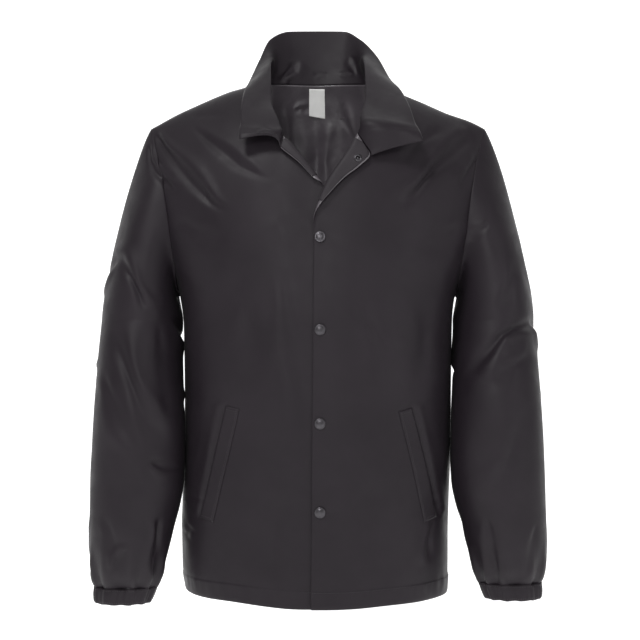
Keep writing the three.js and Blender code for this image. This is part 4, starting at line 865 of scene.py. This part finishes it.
def cuffGrid(side):
    angles = np.linspace(0, 2 * math.pi, cuff["columns"], endpoint=False)
    heights = np.linspace(cuff["top"], cuff["bottom"], cuff["rows"])
    grid = armRing(heights, side, angles)
    outward = unit((grid - np.mean(grid, axis=1, keepdims=True)) * np.array([1, 1, 0]))
    share = ((heights - heights[0]) / (heights[-1] - heights[0]))[:, None]
    wave = np.cos(sleeve["gathers"] * angles + 1.1 * np.sin(2 * angles) + 0.7 * np.sin(3 * angles))
    ribs = 0.45 * np.cos(27 * angles + 1.3 * np.sin(3 * angles) + side)
    fade = mix(sleeve["gatherDepth"], 1.1, smooth(share, 0, 0.16))
    puff = 0.8 * np.sin(math.pi * share) ** 0.7
    grid = grid + outward * (fade * wave + ribs * (0.4 + 0.6 * np.sin(math.pi * share)) + puff - 0.3)[..., None]
    grid[..., 2] += 0.5 * np.cos(sleeve["gathers"] * angles + 1.0)[None] * share
    return grid


cuffPieces = {}
for cuffName, side in (("cuff_left", 1), ("cuff_right", -1)):
    grid = cuffGrid(side)
    cuffPieces[side] = (grid, addSheet(
        cuffName, grid, cuff["cloth"], shellLined,
        closed=True, outwardFrom=armAxis(grid)))

# Collar: from the neck seam over its roll line to its edge, two cubics that share a tangent at the roll
collar = {"cloth": 2.0, "gap": 2.2, "rows": 46, "neck": 60, "front": 54}


def collarHalf(edges, side, table):
    neckAngle = sectionAngle(frontGrid(edges, 1, [23], np.array([0.0]))[0, 0, 0] / halfWidth(-55.1))
    angles = np.linspace(math.pi / 2, neckAngle, collar["neck"])
    x = halfWidth(-55.1) * sectionWidth(angles)
    drop = shoulderZ(239.0, 2) + 55.1
    neck = onTorso(x, shoulderZ(x, 3) - drop, 1)
    neck[:, 0] *= side
    rows = np.linspace(23, body["gorge"], collar["front"])[1:]
    front = frontGrid(edges, side, rows, np.array([0.0]))[:, 0]
    seam = np.concatenate([neck, front])
    run = runAlong(seam, 0)
    shares = run / run[-1]
    rollLine = np.stack([side * column(table, shares, 1), column(table, shares, 2), column(table, shares, 3)], -1)
    tip = np.stack([side * column(table, shares, 4), column(table, shares, 5), column(table, shares, 6)], -1)
    start = collar["gap"] * smooth(shares, 0.3, 0.66) / np.linalg.norm(seam - tip, axis=1)
    t = np.maximum(np.linspace(0, 1, collar["rows"])[None, :], start[:, None])[..., None]
    toRoll = np.linalg.norm(rollLine - seam, axis=1)
    rollAt = (toRoll / (toRoll + np.linalg.norm(tip - rollLine, axis=1)))[:, None, None]
    seam, rollLine, tip = seam[:, None], rollLine[:, None], tip[:, None]
    first, second = (rollLine - seam) / rollAt, (tip - rollLine) / (1 - rollAt)
    bend = first * (1 - rollAt) + second * rollAt
    low = t < rollAt
    a, b = np.where(low, seam, rollLine), np.where(low, rollLine, tip)
    span = np.where(low, rollAt, 1 - rollAt)
    leave = np.where(low, 1.5 * first - 0.5 * bend, bend) * span
    arrive = np.where(low, bend, 1.5 * second - 0.5 * bend) * span
    s = (t - np.where(low, 0, rollAt)) / span
    return ((2 * s ** 3 - 3 * s ** 2 + 1) * a + (s ** 3 - 2 * s ** 2 + s) * leave
            + (3 * s ** 2 - 2 * s ** 3) * b + (s ** 3 - s ** 2) * arrive)


collarGrid = np.concatenate([collarHalf(rightEdge, -1, rightCollar)[::-1], collarHalf(leftEdge, 1, leftCollar)[1:]])
collarCreases = [
    {"face": "front", "line": [(-58, 20), (-50, 30), (-36, 44), (-30, 62)],
     "width": 5, "depth": 2.4, "crest": 1.4},
    {"face": "front", "line": [(50, 66), (56, 50), (60, 30)], "width": 4, "depth": 1.8, "crest": 1.2},
    {"face": "front", "line": [(-60, 22), (-44, 44), (-32, 62)], "width": 4, "depth": 1.6, "crest": 1.2},
    {"face": "front", "line": [(-8, 38), (4, 40), (16, 38)], "width": 3, "depth": 0.9},
    {"face": "front", "line": [(30, 38), (44, 40), (56, 37)], "width": 3, "depth": 0.9},
    {"face": "front", "line": [(-84, -74), (-73, -70), (-62, -74)], "width": 3, "depth": 1.2, "crest": 0.8},
    {"face": "back", "line": [(-50, 80), (0, 74), (52, 82)], "width": 6, "depth": 1.2},
]
inward = gridNormals(collarGrid)
if np.sum(inward[:, 3] * fromAxis(collarGrid)[:, 3]) > 0:
    inward = -inward
facingFront = np.where(inward[..., 1:2] < 0, inward, -inward)
collarHeight = np.where(inward[..., 1] < 0, 1, -1) * creaseHeight(collarGrid, facingFront, collarCreases)
collarGrid = collarGrid + inward * collarHeight[..., None]
# the neck seam closes over the panels' raw edge
collarGrid[:, 0, 2] -= 0.7
# the leaves' edges stand off the fronts a little
leafShare = np.linspace(0, 1, collar["rows"])[None, :]
collarGrid[..., 1] -= 6.0 * smooth(leafShare, 0.55, 1) * smooth(-collarGrid[:, -1:, 1], 20, 90)
addSheet("collar", collarGrid, collar["cloth"], [shellNylon, shellNylon],
         rounding=1.6, sides=(1, 1, 0, 1))
print("collar made")

# Facings of the turned-out edges and the lining inside the back
near, far = -1.15, -1.95
strips = {"front_left": (leftEdge, 1, (13, 18)), "front_right": (rightEdge, -1, (15, 18))}
for front, (edges, side, (low, high)) in strips.items():
    name = "facing_left" if side > 0 else "facing_right"
    grid = frontGrid(edges, side, np.linspace(low + 0.06, high - 0.06, 44), np.linspace(0.08, 2.96, 22))
    normals = gridNormals(grid)
    whole = frontGrid(edges, side, np.linspace(low + 0.06, high - 0.06, 44), np.linspace(0.08, 9, 60))
    if np.sum(gridNormals(whole)[:, -8:] * fromAxis(whole)[:, -8:]) < 0:
        normals = -normals
    rounded = edgeRound(grid, 0.8)
    wave = 0.25 * np.sin(runAlong(grid, 0) / 9 + side) * smooth(runAlong(grid, 1), 0, 6)
    made = makeShell(name + "_cloth", grid, normals, near - 0.1, far - 0.25 + 0.4 * (1 - rounded) + wave,
                     [facingNylon, facingNylon])
    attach(made, "root")
    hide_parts(name)
    size, area = ((0.04, 0.11), 0.0026) if side > 0 else ((0.025, 0.08), 0.0011)

liningRows = rowSteps(body["armpit"], body["top"], 2.6)[1:]
liningRows[-1] -= 0.03
neckX = frontGrid(leftEdge, 1, [23], np.array([4.0]))[0, 0, 0]
tipAngle = sectionAngle(239 / halfWidth(-55.1))
topShare = (sectionAngle(neckX / halfWidth(-55.1)) - tipAngle) / (math.pi - 2 * tipAngle)
edgeShare = mix(10 / 38, topShare, liningRows / body["top"])[:, None]
liningGrid = backGrid(liningRows, mix(edgeShare, 1 - edgeShare, np.linspace(0, 1, 96)[None, :]))
liningNormals = gridNormals(liningGrid, outward=fromAxis(liningGrid))
lx, lz = liningGrid[..., 0], liningGrid[..., 2]
# loose lining: long vertical folds that cross and break
crumple = (0.55 * np.sin(lx / 6.5 + 1.8 * np.sin(lz / 34)) + 0.45 * np.sin(lx / 10 - lz / 26 + 1)
           + 0.3 * np.sin(lz / 12 + 1.5 * np.sin(lx / 18)))
loose = smooth(np.minimum(runAlong(liningGrid, 1), runAlong(liningGrid, 1)[:, ::-1]), 0, 20) * smooth(-lz, -10, 26)
underLabel = np.exp(-(lx / 24) ** 2) * smooth(lz, -50, -24)
liningCreases = [
    {"face": "back", "line": [(-37, -12), (-28, -6), (-12, -3)], "width": 4, "depth": 2.4, "crest": 1.2},
    {"face": "back", "line": [(40, 6), (49, -24), (58, -54)], "width": 5, "depth": 2.8, "crest": 1.6},
    {"face": "back", "line": [(-52, 0), (-46, -50), (-50, -110)], "width": 7, "depth": 2.4, "crest": 1.4},
    {"face": "back", "line": [(16, -20), (10, -90), (16, -150)], "width": 12, "depth": 3, "crest": 1.2}]
settle = 1.6 * (1 + crumple / 1.3) * loose * (1 - 0.75 * underLabel) + 0.9 * loose
settle = np.maximum(settle - creaseHeight(liningGrid, liningNormals, liningCreases) * loose, 0)
# the back lining wears the same painted-light grey
lining = makeShell("lining_back_cloth", liningGrid, liningNormals, near - settle, far - settle,
                   [liningPaintedLight, liningPaintedLight])
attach(lining, "root")
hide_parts("lining_back")

# Neck label: hangs from the neck seam, its lower edge a little askew
label = {"left": -13.5, "right": 10.5, "top": 17, "bottomLeft": -21.5, "bottomRight": -25.5, "inside": 3.0}
s, t = np.meshgrid(np.linspace(0, 1, 22), np.linspace(0, 1, 36))
lowEdge = mix(label["bottomLeft"], label["bottomRight"], s)
labelX = mix(label["left"], label["right"], s) + 1.0 * (1 - t) * (s - 0.5)
labelGrid = onTorso(labelX, mix(lowEdge, label["top"], t), 1)
labelNormals = gridNormals(labelGrid, outward=fromAxis(labelGrid))
labelBend = 0.5 * np.sin(math.pi * s) * (1 - t) + 0.25 * np.sin(5 * t + 3 * s)
labelPiece = makeShell("neck_label_cloth", labelGrid, labelNormals, -label["inside"] - 0.7 - labelBend + 0.3,
                       -label["inside"] - 1.1 - labelBend, [labelTape, labelTape])
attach(labelPiece, "root")
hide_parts("neck_label")

print("inside pieces made")

# Pocket welts: a folded strip, sewn down at its inner side, its free edge standing off as a lip
weltPieces = {}
for pocket in pockets:
    (x1, z1), (x2, z2), side = pocket["top"], pocket["bottom"], pocket["side"]
    length = math.hypot(x2 - x1, z2 - z1)
    s, t = np.meshgrid(np.linspace(0, 1, 14), np.linspace(0, 1, 70))
    inX, inZ = (z2 - z1) / length * welt["width"], (x1 - x2) / length * welt["width"]
    flatX, flatZ = mix(x1, x2, t) + s * inX, mix(z1, z2, t) + s * inZ
    grid = hung(onTorso(side * flatX, flatZ, -1))
    normals = gridNormals(grid, outward=fromAxis(grid))
    chosen = [c for c in bodyCreases if c["width"] > 10]
    height = creaseHeight(grid, normals, chosen) + hangingWaves(grid, normals) * smooth(np.abs(grid[..., 0]), 14, 60)
    gape = 0.7 * np.sin(math.pi * t) ** 0.6 * (1 - s) ** 1.5 * (1 + 0.35 * np.sin(9 * t + side))
    grid = grid + normals * (height + gape)[..., None]
    rounded = edgeRound(grid, 1.8)
    made = makeShell(pocket["name"] + "_cloth", grid, normals,
                     welt["base"] + 0.25 + welt["cloth"] * rounded, welt["base"] - 0.15,
                     [shellNylon, shellNylon])
    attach(made, "root")
    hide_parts(pocket["name"])
    weltPieces[side] = (grid, normals)
print("pockets made")

# Sewing. Each stitch is a short spindle along the seam, half sunk in the cloth.
stitch = {"pitch": 3.2, "length": 2.3, "radius": 0.34}


# stitch centres at equal lengths along a line, then eight faces about each
def sewLine(name, line, normals, offset, pitch=None):
    run = runAlong(line, 0)
    count = max(2, int(run[-1] / (pitch or stitch["pitch"])))
    at = (np.arange(count) + 0.5) * run[-1] / count
    place = np.stack([np.interp(at, run, line[:, k]) for k in range(3)], -1)
    normal = unit(np.stack([np.interp(at, run, normals[:, k]) for k in range(3)], -1))
    along = unit(np.stack([np.interp(at + 0.5, run, line[:, k]) - np.interp(at - 0.5, run, line[:, k])
                           for k in range(3)], -1))
    across = unit(np.cross(normal, along))
    place = place + normal * offset
    half, radius = stitch["length"] / 2, stitch["radius"]
    ring = [across * radius, normal * radius, -across * radius, -normal * radius]
    parts = [place - along * half] + [place - along * half * 0.5 + r for r in ring]
    parts += [place + along * half * 0.5 + r for r in ring] + [place + along * half]
    vertices = np.stack(parts, 1).reshape(-1, 3)
    faces = [(0, 2, 1), (0, 3, 2), (0, 4, 3), (0, 1, 4), (9, 5, 6), (9, 6, 7), (9, 7, 8), (9, 8, 5),
             (1, 2, 6, 5), (2, 3, 7, 6), (3, 4, 8, 7), (4, 1, 5, 8)]
    allFaces = [tuple(v + 10 * k for v in face) for k in range(count) for face in faces]
    made = newObject(name, vertices, allFaces, [thread])
    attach(made, "root")
    return made


stitchRow = int(np.argmin(np.abs(bodyRows - 1.35)))
half = body["cloth"] / 2
hemRuns = [("left", leftFolded, leftOut, leftRaise, 3), ("right", rightFolded, rightOut, rightRaise, 30),
           ("back", backFolded, backOut, backRaise, 1)]
hemSewing = [
    sewLine("hem_stitches_" + word, grid[stitchRow, first:-1], out[stitchRow, first:-1],
            half + 0.1 + raised[stitchRow].mean()) for word, grid, out, raised, first in hemRuns]
for side in (1, -1):
    grid, normals = cuffPieces[side]
    word = "left" if side > 0 else "right"
    [
        sewLine("cuff_stitches_%s_%d" % (word, k), np.concatenate([grid[row], grid[row, :1]]),
                np.concatenate([normals[row], normals[row, :1]]), cuff["cloth"] / 2 + 0.02)
        for k, row in enumerate((2, 12))]
for side in (1, -1):
    grid, normals = weltPieces[side]
    word = "left" if side > 0 else "right"
    top = welt["base"] + 0.25 + welt["cloth"] + 0.05
    sewLine("welt_stitches_%s_inner" % word, grid[1:-1, -3], normals[1:-1, -3], top)
    sewLine("welt_stitches_%s_top" % word, grid[2, 1:-2], normals[2, 1:-2], top, pitch=2.4)
    sewLine("welt_stitches_%s_bottom" % word, grid[-3, 1:-2], normals[-3, 1:-2], top, pitch=2.4)
print("sewing made")


# Snaps: profiles of radius and height, turned about the snap's own normal
def turned(name, profile, point, normal, steps=56):
    profile = np.array(profile, float)
    angles = np.linspace(0, 2 * math.pi, steps, endpoint=False)
    normal = unit(np.asarray(normal, float))
    across = unit(np.cross(normal, [0.0, 0.0, 1.0]))
    up = np.cross(across, normal)
    r, h = profile[:, :1], profile[:, 1:]
    circle = np.cos(angles)[:, None] * across + np.sin(angles)[:, None] * up
    vertices = (point + r[..., None] * circle[None] + (h * np.ones(steps))[..., None] * normal).reshape(-1, 3)
    n, m = len(profile), steps
    faces = [(i * m + k, i * m + (k + 1) % m, (i + 1) * m + (k + 1) % m, (i + 1) * m + k)
             for i in range(n - 1) for k in range(m)]
    made = newObject(name, vertices, faces, [gunmetal])
    shape = bmesh.new()
    shape.from_mesh(made.data)
    bmesh.ops.remove_doubles(shape, verts=shape.verts, dist=1e-6)
    bmesh.ops.recalc_face_normals(shape, faces=shape.faces)
    shape.to_mesh(made.data)
    shape.free()
    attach(made, "root")
    return made


def torsoNormal(x, z):
    here, beside, above = (onTorso(np.array(a, float), np.array(b, float), -1)
                           for a, b in ((x, z), (x + 2, z), (x, z + 2)))
    return here, unit(np.cross(beside - here, above - here))


radius = snaps["radius"]
# underside, rolled rim, shallow groove inside the rim, low dome
capProfile = [(0, 0), (radius - 0.7, 0), (radius - 0.15, 0.3), (radius, 0.9), (radius - 0.25, 1.45),
              (radius - 0.9, 1.7), (radius - 1.5, 1.6), (radius - 1.9, 1.65),
              (radius * 0.62, 2.15), (radius * 0.4, 2.42), (radius * 0.2, 2.56), (0, 2.6)]
for k, level in enumerate(snaps["heights"]):
    point, normal = torsoNormal(snaps["x"], level)
    cap = turned("snap_cap_%d_metal" % (k + 1), capProfile, point + normal * 0.75, normal)
    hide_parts("snap_cap_%d" % (k + 1))

# open socket: flange, raised lip, and the bore with a flat floor
cell = frontGrid(leftEdge, 1, [16, 17], np.array([0.0, 1.0]))
socketPoint = mix(mix(cell[0, 0], cell[0, 1], 0.4), mix(cell[1, 0], cell[1, 1], 0.4), 0.42)
socketNormal = -unit(np.cross(cell[0, 1] - cell[0, 0], cell[1, 0] - cell[0, 0]))
if socketNormal[1] > 0:
    socketNormal = -socketNormal
socketProfile = [(2.4, 0), (5.2, 0), (5.5, 0.25), (5.5, 0.9), (5.2, 1.15), (4.4, 1.2), (4.1, 1.6),
                 (3.6, 1.85), (3.1, 1.85), (2.7, 1.6), (2.4, 1.2), (2.4, 0.6), (2.4, 0)]
socket = turned("snap_socket_open_metal", socketProfile, socketPoint + socketNormal * 2.25,
                socketNormal)
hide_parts("snap_socket_open")
turned("snap_socket_floor", [(0, 0), (2.35, 0), (2.35, 0.3), (0, 0.3)],
       socketPoint + socketNormal * 2.3, socketNormal, 32)
print("snaps made")

# Studio: a pale floor that sweeps up behind, soft lights
studio = {"floor": -0.86, "behind": 3.4, "wall": 3.2, "width": 5.0, "bend": 1.2}
along = np.linspace(0, 1, 24)[:, None] * math.pi / 2
bendY = studio["behind"] - studio["bend"] + studio["bend"] * np.sin(along)
bendZ = studio["floor"] + studio["bend"] * (1 - np.cos(along))
profileY = np.concatenate([[[-4.0]], [[0.0]], bendY, [[studio["behind"]]]])
profileZ = np.concatenate([[[studio["floor"]]], [[studio["floor"]]], bendZ, [[studio["wall"]]]])
x = np.array([[-studio["width"], studio["width"]]])
sweep = np.stack(np.broadcast_arrays(x, profileY, profileZ), -1)
n = len(profileY)
paper, paperTree, paperOutput = newMaterial("background_paper")  # seamless white paper, even and matt
paperShader = addNode(paperTree, "ShaderNodeBsdfPrincipled", None,
                      {"Base Color": toLinear("#fbfbfb"), "Roughness": 0.9, "Specular IOR Level": 0.1,
                       "Emission Color": toLinear("#ffffff"), "Emission Strength": 0.6})
paperTree.links.new(paperShader.outputs["BSDF"], paperOutput.inputs["Surface"])
strip = [(2 * k, 2 * k + 1, 2 * k + 3, 2 * k + 2) for k in range(n - 1)]
floor = newObject("floor", sweep.reshape(-1, 3) / metre, strip, [paper])

world = bpy.data.worlds.new("studio")
world.use_nodes = True
world.node_tree.nodes["Background"].inputs["Color"].default_value = (1, 1, 1, 1)
world.node_tree.nodes["Background"].inputs["Strength"].default_value = 0.42
bpy.context.scene.world = world


def areaLight(name, place, aim, size, power):
    data = bpy.data.lights.new(name, "AREA")
    data.shape, data.size, data.energy = "SQUARE", size, power
    made = bpy.data.objects.new(name, data)
    made.location = place
    direction = np.array(aim) - np.array(place)
    made.rotation_euler = (math.atan2(math.hypot(direction[0], direction[1]), -direction[2]), 0,
                           math.atan2(direction[1], direction[0]) - math.pi / 2)
    bpy.context.scene.collection.objects.link(made)


lights = [("key", (-0.8, -1.5, 1.9), (0, 0, -0.2), 0.6, 34), ("fill", (1.9, -1.7, 0.3), (0, 0, -0.35), 1.3, 10),
          ("front", (-0.2, -2.3, 0.45), (0, 0, -0.1), 0.5, 12), ("top", (0.2, 0.5, 1.7), (0, 0, 0), 1.2, 4)]
for name, place, aim, size, power in lights:
    areaLight(name, place, aim, size, power)
bpy.context.scene.view_settings.view_transform = "Standard"
print("studio made")
